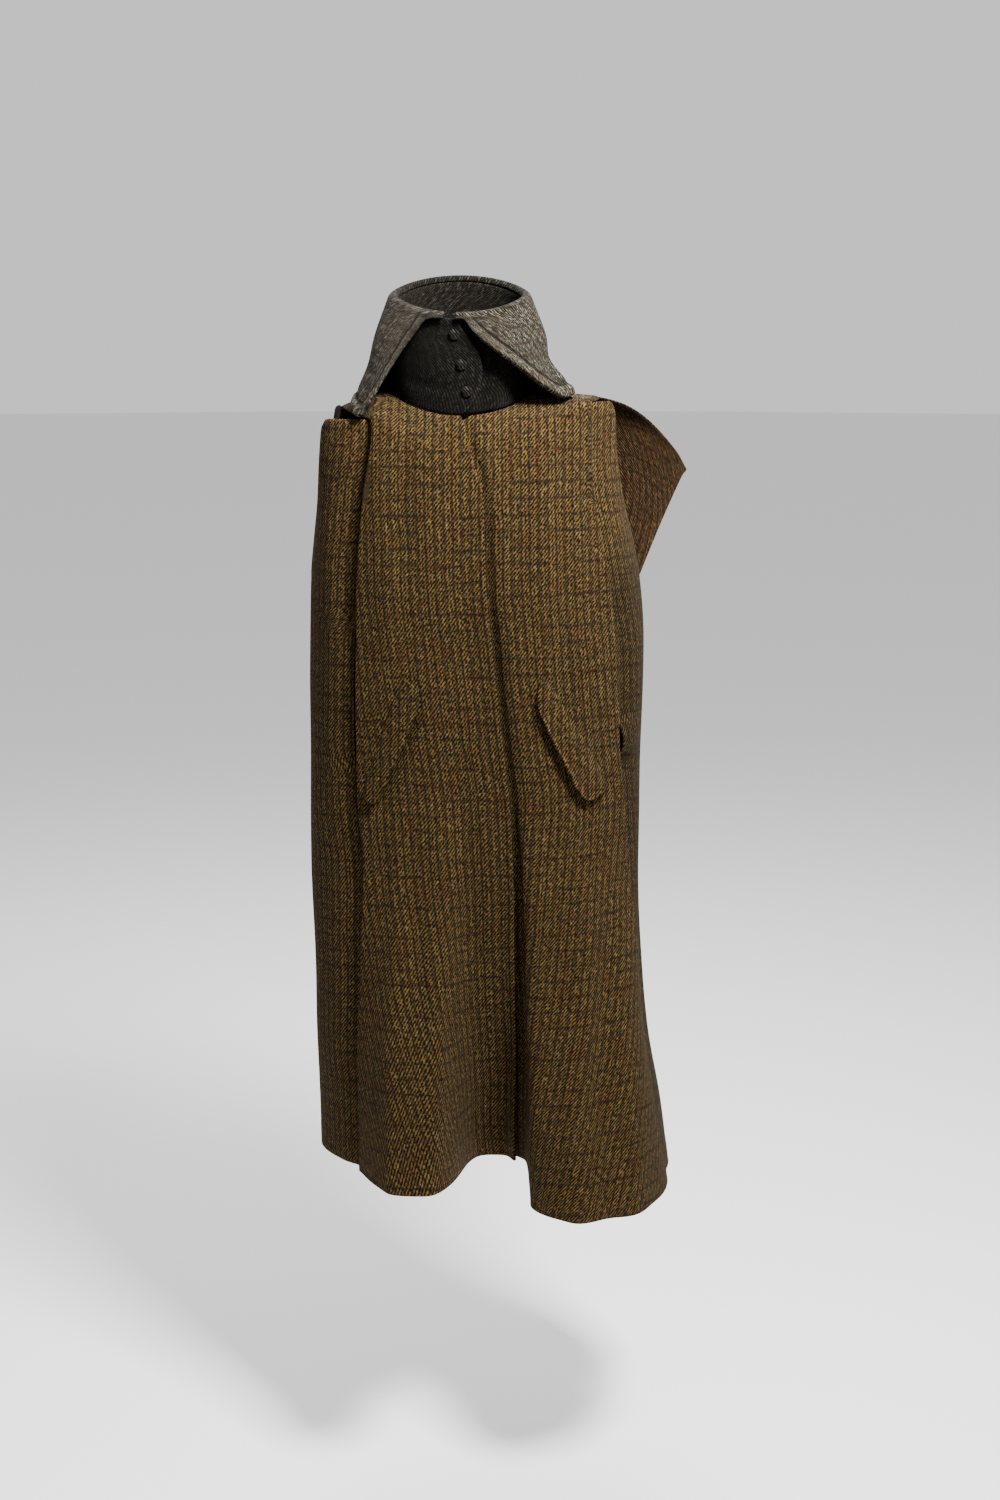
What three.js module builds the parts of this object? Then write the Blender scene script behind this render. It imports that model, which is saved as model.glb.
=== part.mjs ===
// A long sleeveless cape coat of checked wool tweed, hanging hollow as if worn.
// Square wings of the side fronts and the back stand past the shoulder seams over open armholes.
// Sizes are millimetres: x runs to the right of a viewer in front, y to the back, z up.
// The origin is the middle of the neck opening, at the height of the shoulder seams.
import * as THREE from 'three';

const CLOTH = 3;
const COLLAR_CLOTH = 4;
const SEAM_GAP = 0.35;
const SHOULDER_GAP = 1;
const SEAM_EASE = 1.4;
const TOP_EASE = 1;
const TUCK_GAP = 1.7;
const LAYER_GAP = 0.9;
const FRONT_LAP_GAP = 1.3;
const LAP_DROP = 1.25;
const UNDER_LAP = 38;
const HEM_SAG = -32;
const HEM_HEIGHT = -1050;
const ARMHOLE_BOTTOM = -240;
const YOKE_BOTTOM = -136;
const WING_TOP = { left: -24, right: -2 };
const SLIT_TOP = -270;
const SLIT_BOTTOM = -490;
const SEAM_TUCK = 9;
const SLIT_TUCK = 15;
const TUCK_REACH = 34;
const EDGE_ROLL = 9;
const FOLD_TOP = -520;
const FLAP_CLOTH = 3;
const BUTTON_RADIUS = 7;
const BUTTON_HEIGHT = 4.5;

// Level sections of the body: reach to each side, to the front and to the back, and squareness.
const SECTIONS = [
  { z: 0, left: -186, right: 204, front: 98, back: 96, square: 2.4 },
  { z: -24, left: -189, right: 206, front: 106, back: 102, square: 2.4 },
  { z: -70, left: -191, right: 206, front: 120, back: 112, square: 2.4 },
  { z: -136, left: -193, right: 217, front: 129, back: 119, square: 2.4 },
  { z: -190, left: -198, right: 229, front: 131, back: 121, square: 2.4 },
  { z: -240, left: -203, right: 239, front: 131, back: 121, square: 2.4 },
  { z: -326, left: -206, right: 246, front: 129, back: 120, square: 2.4 },
  { z: -494, left: -209, right: 243, front: 125, back: 121, square: 2.4 },
  { z: -637, left: -211, right: 243, front: 123, back: 126, square: 2.4 },
  { z: -743, left: -207, right: 248, front: 123, back: 133, square: 2.4 },
  { z: -864, left: -207, right: 260, front: 126, back: 146, square: 2.3 },
  { z: -960, left: -205, right: 279, front: 129, back: 162, square: 2.2 },
  { z: HEM_HEIGHT, left: -203, right: 292, front: 132, back: 176, square: 2.2 },
];

// Where the front seams and the overlapping front edge run, from the shoulder to the hem.
const SEAM_LINES = [
  { z: 0, left: -116, right: 171, edge: 0 },
  { z: -54, left: -116, right: 171, edge: 11 },
  { z: -119, left: -127, right: 173, edge: 28 },
  { z: -240, left: -137, right: 193, edge: 33 },
  { z: -326, left: -139, right: 209, edge: 41 },
  { z: -436, left: -141, right: 211, edge: 53 },
  { z: -532, left: -140, right: 218, edge: 64 },
  { z: -618, left: -134, right: 228, edge: 68 },
  { z: -746, left: -137, right: 240, edge: 71 },
  { z: -884, left: -143, right: 256, edge: 74 },
  { z: HEM_HEIGHT, left: -142, right: 284, edge: 75 },
];

// Deep folds that open towards the hem: middle, half width and depth there, and the layer they lie in.
const FRONT_FOLDS = [
  { middle: -76, reach: 62, depth: 84, layer: 'over' },
  { middle: 42, reach: 42, depth: -72, layer: 'over' },
  { middle: 192, reach: 104, depth: 98, layer: 'under' },
];
const BACK_FOLDS = [
  { middle: -130, reach: 48, depth: 22 },
  { middle: -45, reach: 40, depth: -26 },
  { middle: 45, reach: 48, depth: 26 },
  { middle: 130, reach: 38, depth: -24 },
  { middle: 205, reach: 44, depth: 26 },
];

// Neck seam, and the top of the stand where the collar folds over.
const NECK = { middle: 0, half: 88, front: 98, back: 80, zFront: -19, zSide: 8, zBack: 14 };
const STAND_TOP = { middle: -2, half: 84, front: 84, back: 66, zFront: 104, zSide: 129, zBack: 152 };
const SHOULDER_END = { left: { x: -161, y: 2, z: -11 }, right: { x: 180, y: 6, z: 2 } };
const YOKE_FRONT_DROP = -58;
const YOKE_BACK_DROP = -44;

// Outer corners of the back wings, and how far back their inner part swings while the armhole is open.
const BACK_WING = {
  left: { x: -174, y: 84, z: -15, rise: 2, swing: 52 },
  right: { x: 309, y: 82, z: -94, rise: 22, swing: 56 },
};
const FRONT_WING_TURN = { left: 17, right: 12 };

const LEVELS = [
  -136, -170, -205, -240, -272, -326, -382, -438, -490, -555, -625, -695, -765, -835, -900, -960, -1008, -1050,
];
const YOKE_ROWS = [0, 0.24, 0.5, 0.76];
const CAP_ROWS = [0, 0.22, 0.45, 0.7, 1];

const RADIANS = Math.PI / 180;

function mix(a, b, share) {
  return a + (b - a) * share;
}

function ease(value, low, high) {
  const share = Math.min(1, Math.max(0, (value - low) / (high - low)));
  return share * share * (3 - 2 * share);
}

function signedPower(value, exponent) {
  return Math.sign(value) * Math.abs(value) ** exponent;
}

// Reads a column of a table at a height, along a smooth curve through its rows.
function readTable(table, z, column) {
  const last = table.length - 1;
  if (z >= table[0].z) return table[0][column];
  if (z <= table[last].z) return table[last][column];
  let i = 0;
  while (z < table[i + 1].z) i += 1;
  const slopeAt = (k) => {
    const a = table[Math.max(0, k - 1)];
    const b = table[Math.min(last, k + 1)];
    return (b[column] - a[column]) / (b.z - a.z);
  };
  const from = table[i];
  const to = table[i + 1];
  const span = to.z - from.z;
  const t = (z - from.z) / span;
  const keep = 2 * t ** 3 - 3 * t ** 2 + 1;
  return (
    from[column] * keep +
    to[column] * (1 - keep) +
    slopeAt(i) * span * (t ** 3 - 2 * t ** 2 + t) +
    slopeAt(i + 1) * span * (t ** 3 - t ** 2)
  );
}

function section(z) {
  const left = readTable(SECTIONS, z, 'left');
  const right = readTable(SECTIONS, z, 'right');
  return {
    middle: (left + right) / 2,
    half: (right - left) / 2,
    front: readTable(SECTIONS, z, 'front'),
    back: readTable(SECTIONS, z, 'back'),
    square: readTable(SECTIONS, z, 'square'),
  };
}

// The angle on the section at which the cloth reaches a sideways place, on the front half.
function frontAngle(x, z) {
  const { middle, half, square } = section(z);
  const cosine = signedPower((x - middle) / half, square / 2);
  return -Math.acos(Math.max(-1, Math.min(1, cosine)));
}

function foldSize(fold, x) {
  return fold.depth * Math.exp(-(((x - fold.middle) / fold.reach) ** 4));
}

function foldGrowth(z) {
  return Math.max(0, (FOLD_TOP - z) / (FOLD_TOP - HEM_HEIGHT)) ** 1.5;
}

// Point on the body cloth before seams are tucked in. Past the front edge the under layer comes forward.
function bodyPoint(angle, z, layer) {
  const { middle, half, front, back, square } = section(z);
  const cosine = Math.cos(angle);
  const sine = Math.sin(angle);
  const x = middle + half * signedPower(cosine, 2 / square);
  let y = (sine < 0 ? front : back) * signedPower(sine, 2 / square);
  const growth = foldGrowth(z);
  let sag = HEM_SAG * ease(x, -100, 200);
  if (sine < 0) {
    const edge = readTable(SEAM_LINES, z, 'edge');
    const passed = layer === 'under' ? ease(x, edge + 2, edge + 12) : 0;
    let push = 0;
    for (const fold of FRONT_FOLDS) {
      push += foldSize(fold, x) * (fold.layer === 'under' ? passed : 1 - passed);
    }
    y -= push * growth * ease(-sine, 0, 0.4);
    sag = HEM_SAG * passed;
  } else {
    let push = 0;
    for (const fold of BACK_FOLDS) push += foldSize(fold, x);
    y += push * growth * ease(sine, 0, 0.4);
  }
  return new THREE.Vector3(x, y, z + sag * growth);
}

// Outward direction of the body cloth in its level section.
function bodyOutward(angle, z, layer) {
  const step = 0.01;
  const along = bodyPoint(angle + step, z, layer).sub(bodyPoint(angle - step, z, layer));
  return new THREE.Vector3(along.y, -along.x, 0).normalize();
}

// How far the cloth runs for each radian of angle, at a place on the section.
function clothSpeed(angle, z, layer) {
  const step = 0.01;
  return bodyPoint(angle + step, z, layer).distanceTo(bodyPoint(angle - step, z, layer)) / (2 * step);
}

function sunkBody(angle, z, layer, depth) {
  return bodyPoint(angle, z, layer).addScaledVector(bodyOutward(angle, z, layer), -depth);
}

// How deep the seam between centre front and side front is drawn in; the slit stays open.
function seamTuck(z, part) {
  const inSlit = ease(z, SLIT_BOTTOM - 30, SLIT_BOTTOM + 6) * (1 - ease(z, SLIT_TOP - 6, SLIT_TOP + 24));
  const below = ease(z, HEM_HEIGHT - 200, SLIT_BOTTOM);
  const above = 1 - ease(z, YOKE_BOTTOM, WING_TOP.left);
  const seam = SEAM_TUCK * mix(0.6, 1, below) * above;
  return part === 'side' ? mix(seam, SLIT_TUCK, inSlit) : seam * (1 - inSlit);
}

function seamAngle(z, side) {
  return frontAngle(readTable(SEAM_LINES, z, side), z);
}

// Turns a grid of points into one closed wall of cloth. Cells that are not filled are left out,
// and neighbouring grid points that coincide become one.
function clothWall(rows, columns, pointAt, thickness, filled = () => true) {
  const middle = [];
  for (let r = 0; r < rows; r += 1) {
    for (let c = 0; c < columns; c += 1) middle.push(pointAt(r, c));
  }
  const keys = new Map();
  const same = middle.map((p, i) => {
    const key = p.toArray().map((n) => n.toFixed(4)).join();
    if (!keys.has(key)) keys.set(key, i);
    return keys.get(key);
  });
  const faces = [];
  for (let r = 0; r < rows - 1; r += 1) {
    for (let c = 0; c < columns - 1; c += 1) {
      if (!filled(r, c)) continue;
      const a = same[r * columns + c];
      const b = same[r * columns + c + 1];
      const d = same[(r + 1) * columns + c];
      const e = same[(r + 1) * columns + c + 1];
      for (const face of [[a, d, e], [a, e, b]]) {
        if (new Set(face).size === 3) faces.push(face);
      }
    }
  }
  const normals = middle.map(() => new THREE.Vector3());
  for (const [i, j, k] of faces) {
    const first = middle[j].clone().sub(middle[i]);
    const second = middle[k].clone().sub(middle[i]);
    const normal = first.cross(second);
    for (const n of [i, j, k]) normals[n].add(normal);
  }
  const positions = [];
  for (const side of [0.5, -0.5]) {
    middle.forEach((p, i) => {
      const lifted = p.clone().addScaledVector(normals[i].clone().normalize(), side * thickness);
      positions.push(lifted.x, lifted.y, lifted.z);
    });
  }
  const inner = middle.length;
  const index = [];
  const border = new Map();
  for (const face of faces) {
    index.push(...face);
    index.push(face[0] + inner, face[2] + inner, face[1] + inner);
    for (let n = 0; n < 3; n += 1) {
      const from = face[n];
      const to = face[(n + 1) % 3];
      if (border.has(`${to},${from}`)) border.delete(`${to},${from}`);
      else border.set(`${from},${to}`, [from, to]);
    }
  }
  for (const [from, to] of border.values()) {
    index.push(to, from, from + inner);
    index.push(to, from + inner, to + inner);
  }
  return closedGeometry(positions, index);
}

// Keeps only the points in use, so that every solid is one tidy closed body.
function closedGeometry(positions, index) {
  const renumbered = new Map();
  const kept = [];
  const newIndex = index.map((old) => {
    if (!renumbered.has(old)) {
      renumbered.set(old, kept.length / 3);
      kept.push(positions[old * 3], positions[old * 3 + 1], positions[old * 3 + 2]);
    }
    return renumbered.get(old);
  });
  const geometry = new THREE.BufferGeometry();
  geometry.setAttribute('position', new THREE.Float32BufferAttribute(kept, 3));
  geometry.setIndex(newIndex);
  geometry.computeVertexNormals();
  return geometry;
}

function named(name, geometry, material) {
  const mesh = new THREE.Mesh(geometry, material);
  mesh.name = name;
  return mesh;
}

// Height on the edge between the top of the shoulder and the hanging body, by place round the body.
function yokeEdgeHeight(side, share, drop) {
  return mix(drop, WING_TOP[side], ease(share, 0, 1));
}

// Height of a body row. The rows just under the shoulder follow its edge; the lower ones are level.
function rowHeight(row, edgeHeight) {
  if (row < YOKE_ROWS.length) return mix(edgeHeight, YOKE_BOTTOM, YOKE_ROWS[row]);
  return LEVELS[row - YOKE_ROWS.length];
}

const BODY_ROWS = YOKE_ROWS.length + LEVELS.length;
const ARMHOLE_ROWS = YOKE_ROWS.length + LEVELS.indexOf(ARMHOLE_BOTTOM);

function neckPoint(ring, angle) {
  const cosine = Math.cos(angle);
  const sine = Math.sin(angle);
  const depth = sine < 0 ? ring.front : ring.back;
  const end = sine < 0 ? ring.zFront : ring.zBack;
  return new THREE.Vector3(
    ring.middle + ring.half * cosine,
    depth * sine,
    mix(ring.zSide, end, Math.abs(sine) ** 1.4),
  );
}

// Between the neck seam and the edge of the shoulder the cloth lies almost level, then turns down.
function capPoint(neck, edge, share) {
  const point = neck.clone().lerp(edge, share);
  point.z = mix(neck.z, edge.z, share ** 1.5);
  return point;
}

const CENTRE_SHARES = [0.12, 0.25, 0.38, 0.52, 0.66, 0.8, 0.92];
const OVER_STEPS = [0, 4, 12, 22, UNDER_LAP];
const UNDER_STEPS = [-UNDER_LAP, -22, -12, -4, 0, 3, 6, 9, 13, 19];
const CAP_SIDE_COLUMNS = 4;

// One centre front: from its front edge to the side seam, and over the shoulder to the shoulder seam.
function centreFront(side) {
  const layer = side === 'left' ? 'over' : 'under';
  const toSide = side === 'left' ? -1 : 1;
  const steps = layer === 'over' ? OVER_STEPS : UNDER_STEPS;
  const centreColumns = steps.length + CENTRE_SHARES.length + 2;
  const columns = centreColumns + CAP_SIDE_COLUMNS;
  const sink = layer === 'under' ? CLOTH + FRONT_LAP_GAP : 0;

  const columnAngle = (column, z) => {
    const edge = readTable(SEAM_LINES, z, 'edge');
    if (column < steps.length) return frontAngle(edge + toSide * Math.abs(steps[column]) * Math.sign(steps[column]), z);
    const near = frontAngle(edge + toSide * steps[steps.length - 1], z);
    const reach = Math.abs(seamAngle(z, side) - near);
    const speed = clothSpeed(seamAngle(z, side), z, layer);
    const gap = SEAM_GAP / 2 / speed;
    const rolled = 1 - EDGE_ROLL / (reach * speed);
    const share = [...CENTRE_SHARES.map((s) => s * rolled), rolled, 1 - gap / reach][column - steps.length];
    return mix(near, seamAngle(z, side), share);
  };
  const lapped = (column) => (column < steps.length ? 1 - ease(steps[column], 2, 15) : 0);
  const edgePoint = (column) => {
    if (column < centreColumns) {
      const share = column / (centreColumns - 1);
      const z = yokeEdgeHeight(side, share ** 1.6, YOKE_FRONT_DROP);
      const point = bodyPointAt(column, z);
      point.z -= lapped(column) * sink * LAP_DROP;
      return point;
    }
    const share = (column - centreColumns + 1) / CAP_SIDE_COLUMNS;
    const end = SHOULDER_END[side];
    const from = bodyPointAt(centreColumns - 1, WING_TOP[side]);
    const point = from.clone().lerp(new THREE.Vector3(end.x, end.y - SHOULDER_GAP / 2, end.z), share);
    point.x += toSide * 7 * Math.sin(share * Math.PI);
    return point;
  };
  function bodyPointAt(column, z) {
    const angle = columnAngle(column, z);
    const atSeam = column === centreColumns - 1 ? seamTuck(z, 'centre') : 0;
    const underlap = lapped(column) * sink;
    return sunkBody(angle, z, layer, atSeam + underlap);
  }
  const capPointAt = (row, column) => {
    const edge = edgePoint(column);
    const nearX = column < steps.length ? toSide * steps[column] : toSide * steps[steps.length - 1];
    const startAngle = -Math.acos(nearX / NECK.half);
    const share = column < steps.length ? 0 : (column - steps.length + 1) / (columns - steps.length);
    const seamEnd = side === 'left' ? -Math.PI : 0;
    const neck = neckPoint(NECK, mix(startAngle, seamEnd, share));
    neck.z -= lapped(column) * sink * LAP_DROP;
    if (column === columns - 1) neck.y -= SHOULDER_GAP / 2;
    return capPoint(neck, edge, CAP_ROWS[row]);
  };
  const topRows = CAP_ROWS.length - 1;
  const rows = topRows + BODY_ROWS;
  const pointAt = (row, column) => {
    if (row < topRows) return capPointAt(row, column);
    if (column >= centreColumns) return edgePoint(column);
    const share = column / (centreColumns - 1);
    const height = rowHeight(row - topRows, yokeEdgeHeight(side, share ** 1.6, YOKE_FRONT_DROP));
    return row === topRows ? edgePoint(column) : bodyPointAt(column, height);
  };
  const filled = (row, column) => row < topRows || column < centreColumns - 1;
  return clothWall(rows, columns, pointAt, CLOTH, filled);
}

const SIDE_SHARES = [0, 0.07, 0.18, 0.36, 0.6, 0.82, 1];

// One side front: from the seam with its arm slit out to the wing's free edge, or to the side seam lower down.
function sideFront(side) {
  const layer = side === 'left' ? 'over' : 'under';
  const sideEnd = side === 'left' ? -Math.PI : 0;
  const inwards = side === 'left' ? 1 : -1;
  const pointAt = (row, column) => {
    const z = rowHeight(row, WING_TOP[side]);
    const from = seamAngle(z, side);
    const open = 1 - ease(row / ARMHOLE_ROWS, 0.1, 1);
    const depth = section(z).front;
    const end = sideEnd + inwards * (FRONT_WING_TURN[side] * RADIANS * open + SEAM_GAP / 2 / depth);
    const clearance = SEAM_GAP / 2 + SEAM_EASE + TUCK_GAP * (seamTuck(z, 'centre') / SEAM_TUCK)
      + TOP_EASE * ease(z, WING_TOP[side] - 14, WING_TOP[side]);
    const gap = (clearance / clothSpeed(from, z, layer)) * inwards * -1;
    const share = SIDE_SHARES[column];
    const angle = mix(from + gap, end, share);
    const away = Math.abs(angle - from) * clothSpeed(from, z, layer);
    const tuck = seamTuck(z, 'side') * Math.exp(-((away / TUCK_REACH) ** 2)) * (1 - share ** 4);
    return sunkBody(angle, z, layer, tuck);
  };
  return clothWall(BODY_ROWS, SIDE_SHARES.length, pointAt, CLOTH);
}

const BACK_MIDDLE_COLUMNS = 12;
const BACK_SIDE_COLUMNS = 5;
const BACK_WING_COLUMNS = 5;
const BACK_BASE = 47;

// The back is one piece, with a wing past each shoulder seam.
function backPanel() {
  const half = BACK_MIDDLE_COLUMNS / 2;
  const reach = half + BACK_SIDE_COLUMNS + BACK_WING_COLUMNS;
  const columns = 2 * reach + 1;
  const topRows = CAP_ROWS.length - 1;
  const rows = topRows + BODY_ROWS;

  const baseAngle = (side) => (side === 'left' ? 180 - BACK_BASE : BACK_BASE) * RADIANS;
  const sideAngle = (side) => (side === 'left' ? Math.PI : 0);
  const seamPoint = (side) => {
    const point = bodyPoint(sideAngle(side), ARMHOLE_BOTTOM, 'over');
    point.y += SEAM_GAP / 2;
    return point;
  };
  const edgeHeight = (side, share) => mix(YOKE_BACK_DROP, WING_TOP[side], ease(share, 0, 1));
  // The line that runs down from the shoulder seam's end to the bottom of the armhole.
  const innerLine = (side, share) => {
    const end = SHOULDER_END[side];
    const start = new THREE.Vector3(end.x, end.y + SHOULDER_GAP / 2, end.z);
    const point = start.lerp(seamPoint(side), share);
    point.y += BACK_WING[side].swing * Math.sin(Math.PI * share ** 0.7) ** 0.8;
    return point;
  };
  const wingPoint = (side, share, out) => {
    const wing = BACK_WING[side];
    const corner = new THREE.Vector3(wing.x, wing.y, wing.z);
    const outer = corner.lerp(seamPoint(side), share);
    outer.y += 8 * Math.sin(Math.PI * share);
    const point = innerLine(side, share).lerp(outer, out);
    const bow = Math.sin(Math.PI * out) * (1 - share);
    point.z += wing.rise * bow;
    point.y += 6 * bow;
    return point;
  };
  const pointAt = (row, column) => {
    const signed = column - reach;
    const side = signed < 0 ? 'left' : 'right';
    const step = Math.abs(signed);
    const bodyRow = Math.max(0, row - topRows);
    const sideShare = Math.min(1, Math.max(0, (step - half) / BACK_SIDE_COLUMNS));
    const middleShare = Math.min(1, step / half);
    const z = rowHeight(bodyRow, edgeHeight(side, (middleShare * 0.45 + sideShare * 0.55)));
    const share = Math.min(1, bodyRow / ARMHOLE_ROWS);
    const out = Math.max(0, (step - half - BACK_SIDE_COLUMNS) / BACK_WING_COLUMNS);
    const closed = bodyRow >= ARMHOLE_ROWS;
    let body;
    if (step <= half) {
      body = bodyPoint(mix(Math.PI / 2, baseAngle(side), middleShare), z, 'over');
    } else if (closed) {
      body = bodyPoint(mix(baseAngle(side), sideAngle(side), sideShare), z, 'over');
      if (sideShare === 1) body.y += SEAM_GAP / 2;
    } else if (out > 0) {
      body = wingPoint(side, share, out);
    } else {
      const baseHeight = rowHeight(bodyRow, edgeHeight(side, 0.45));
      const base = bodyPoint(baseAngle(side), baseHeight, 'over');
      const line = innerLine(side, share);
      const direct = base.clone().lerp(line, sideShare);
      const round = 14 * Math.sin(Math.PI * sideShare) * Math.abs(2 * share - 1);
      direct.x += round * 0.8 * Math.sign(signed);
      direct.y += round * 0.6;
      body = direct;
    }
    if (row >= topRows) return body;
    const neckShare = Math.min(1, step / (half + BACK_SIDE_COLUMNS));
    const neck = neckPoint(NECK, mix(Math.PI / 2, sideAngle(side), neckShare));
    if (neckShare === 1) neck.y += SHOULDER_GAP / 2;
    return capPoint(neck, body, CAP_ROWS[row]);
  };
  const filled = (row, column) => {
    const outer = column < BACK_WING_COLUMNS || column >= columns - 1 - BACK_WING_COLUMNS;
    return !outer || (row >= topRows && row < topRows + ARMHOLE_ROWS);
  };
  return clothWall(rows, columns, pointAt, CLOTH, filled);
}

// Collar stand: a tall band that starts on top at the front, runs round the neck and ends under its start.
const STAND_SEAT = 0.3;
const STAND_START = 8;
const STAND_UNDER = 20;
const STAND_COLUMNS = 40;
const STAND_ROWS = [0, 0.12, 0.35, 0.6, 0.85, 1];
const STAND_BULGE = 17;

function standPoint(degrees, height, sink) {
  const low = neckPoint(NECK, degrees * RADIANS);
  low.z += CLOTH / 2 + STAND_SEAT;
  const high = neckPoint(STAND_TOP, degrees * RADIANS);
  const point = low.lerp(high, height);
  const flat = new THREE.Vector3(point.x, point.y, 0);
  const reach = flat.length();
  const scale = (reach + 2.5 * Math.sin(Math.PI * height) - sink) / reach;
  point.x *= scale;
  point.y *= scale;
  return point;
}

function collarStand() {
  const lapDepth = COLLAR_CLOTH + LAYER_GAP;
  const pointAt = (row, column) => {
    const height = STAND_ROWS[row];
    const share = column / (STAND_COLUMNS - 1);
    const start = -90 + STAND_START * 0.3 + STAND_BULGE * Math.sin(Math.PI * Math.min(1, height * 1.12)) ** 0.8;
    const end = -450 + 360 - STAND_UNDER - 360;
    const degrees = mix(start, end, share);
    const passed = -degrees - 360;
    const sink = lapDepth * ease(passed, 52, 72);
    return standPoint(degrees, height, sink);
  };
  return clothWall(STAND_ROWS.length, STAND_COLUMNS, pointAt, COLLAR_CLOTH);
}

// Collar fall: rolls over the top of the stand and hangs outside it, down to two points in front.
const FALL_ROLL = [
  { out: 0, up: 0 },
  { out: 0.6, up: 2.6 },
  { out: 3, up: 4.6 },
  { out: 6.4, up: 4.2 },
  { out: 8.4, up: 1.6 },
];
const FALL_ROLL_OUT = 9;
const FALL_SEAT = 1.7;
const FALL_DROPS = [0.1, 0.27, 0.5, 0.74, 1];

// The free edge by angle from the front: its height, and how far it reaches out from the neck.
const FALL_EDGE = {
  left: [
    { z: -12, height: 105, reach: 92 },
    { z: -20, height: 105, reach: 93 },
    { z: -28, height: 101, reach: 95 },
    { z: -33, height: 90, reach: 100 },
    { z: -40, height: 68, reach: 111 },
    { z: -44, height: 48, reach: 122 },
    { z: -48, height: 22, reach: 137 },
    { z: -51, height: -3, reach: 150 },
    { z: -55, height: -20, reach: 158 },
    { z: -62, height: -14, reach: 157 },
    { z: -70, height: 2, reach: 147 },
    { z: -90, height: 8, reach: 130 },
    { z: -130, height: 6, reach: 124 },
    { z: -180, height: 2, reach: 118 },
  ],
  right: [
    { z: 2.5, height: 106, reach: 91 },
    { z: -4, height: 102, reach: 92 },
    { z: -12, height: 86, reach: 101 },
    { z: -25, height: 64, reach: 113 },
    { z: -38, height: 43, reach: 125 },
    { z: -49, height: 22, reach: 137 },
    { z: -57, height: 8, reach: 148 },
    { z: -63, height: 3, reach: 154 },
    { z: -69, height: 13, reach: 156 },
    { z: -76, height: 14, reach: 144 },
    { z: -90, height: 12, reach: 128 },
    { z: -130, height: 6, reach: 124 },
    { z: -180, height: 2, reach: 118 },
  ],
};
const FALL_TURNS = {
  left: [12, 16, 21, 26, 30, 34, 38, 41, 44, 46, 48, 50, 52, 54, 58, 62, 66, 71, 78, 86, 97, 112, 130, 148, 166],
  right: [-2.5, 1, 5, 10, 16, 23, 31, 39, 46, 52, 57, 60, 63, 66, 69, 72, 76, 81, 88, 98, 112, 130, 148, 166],
};

function collarFall() {
  const stops = [
    ...FALL_TURNS.left.map((turn) => ({ side: 'left', turn, degrees: -90 - turn })),
    ...FALL_TURNS.right.map((turn) => ({ side: 'right', turn, degrees: -90 + turn })).reverse(),
  ];
  const pointAt = (row, column) => {
    const { side, turn, degrees } = stops[column];
    const start = standPoint(degrees, 1, 0);
    const outward = new THREE.Vector3(start.x, start.y, 0).normalize();
    start.z += FALL_SEAT;
    if (row < FALL_ROLL.length) {
      const roll = FALL_ROLL[row];
      start.addScaledVector(outward, roll.out);
      start.z += roll.up;
      return start;
    }
    const height = readTable(FALL_EDGE[side], -turn, 'height');
    const reach = readTable(FALL_EDGE[side], -turn, 'reach');
    const from = start.clone().addScaledVector(outward, FALL_ROLL_OUT);
    const to = outward.clone().multiplyScalar(Math.max(reach, Math.hypot(from.x, from.y) + 1));
    to.z = Math.min(height, from.z - 6);
    const drop = FALL_DROPS[row - FALL_ROLL.length];
    const point = from.clone().lerp(to, drop);
    point.addScaledVector(outward, 5 * Math.sin(Math.PI * drop) * ease(from.z - to.z, 10, 80));
    return point;
  };
  return clothWall(FALL_ROLL.length + FALL_DROPS.length, stops.length, pointAt, COLLAR_CLOTH);
}

// Pocket flaps lie on the centre fronts. Corners: top outer, top inner, bottom inner, bottom outer.
const POCKET_FLAPS = {
  right: [
    { x: -76, z: -352 },
    { x: -47, z: -380 },
    { x: -112, z: -534 },
    { x: -134, z: -520 },
  ],
  left: [
    { x: 106, z: -346 },
    { x: 95, z: -392 },
    { x: 160, z: -533 },
    { x: 200, z: -510 },
  ],
};
const FLAP_LENGTH_STEPS = 12;
const FLAP_WIDTH_STEPS = 5;

function pocketFlap(side) {
  const [topOuter, topInner, bottomInner, bottomOuter] = POCKET_FLAPS[side];
  const layer = side === 'right' ? 'over' : 'under';
  const lift = CLOTH / 2 + FLAP_CLOTH / 2 + LAYER_GAP;
  const pointAt = (row, column) => {
    const along = (2 * row) / FLAP_LENGTH_STEPS - 1;
    const across = (2 * column) / FLAP_WIDTH_STEPS - 1;
    const u = (1 + along * (1 - 0.025 * across ** 6)) / 2;
    const v = (1 + across * (1 - 0.14 * along ** 12)) / 2;
    const spot = (key) =>
      mix(mix(topOuter[key], topInner[key], v), mix(bottomOuter[key], bottomInner[key], v), u);
    const x = spot('x');
    const z = spot('z');
    const angle = frontAngle(x, z);
    const stand = lift + 2.5 * v * (1 - along ** 4);
    return sunkBody(angle, z, layer, -stand);
  };
  return clothWall(FLAP_LENGTH_STEPS + 1, FLAP_WIDTH_STEPS + 1, pointAt, FLAP_CLOTH);
}

// Covered buttons stand on the collar's overlap.
const BUTTONS = [
  { name: 'button_top', x: -8, z: 84 },
  { name: 'button_middle', x: 1, z: 46 },
  { name: 'button_bottom', x: 8, z: 12 },
];
const BUTTON_PROFILE = [
  [0, 0],
  [0.8, 0],
  [1, 0.3],
  [0.94, 0.62],
  [0.68, 0.9],
  [0.35, 1],
  [0, 1],
];

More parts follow.
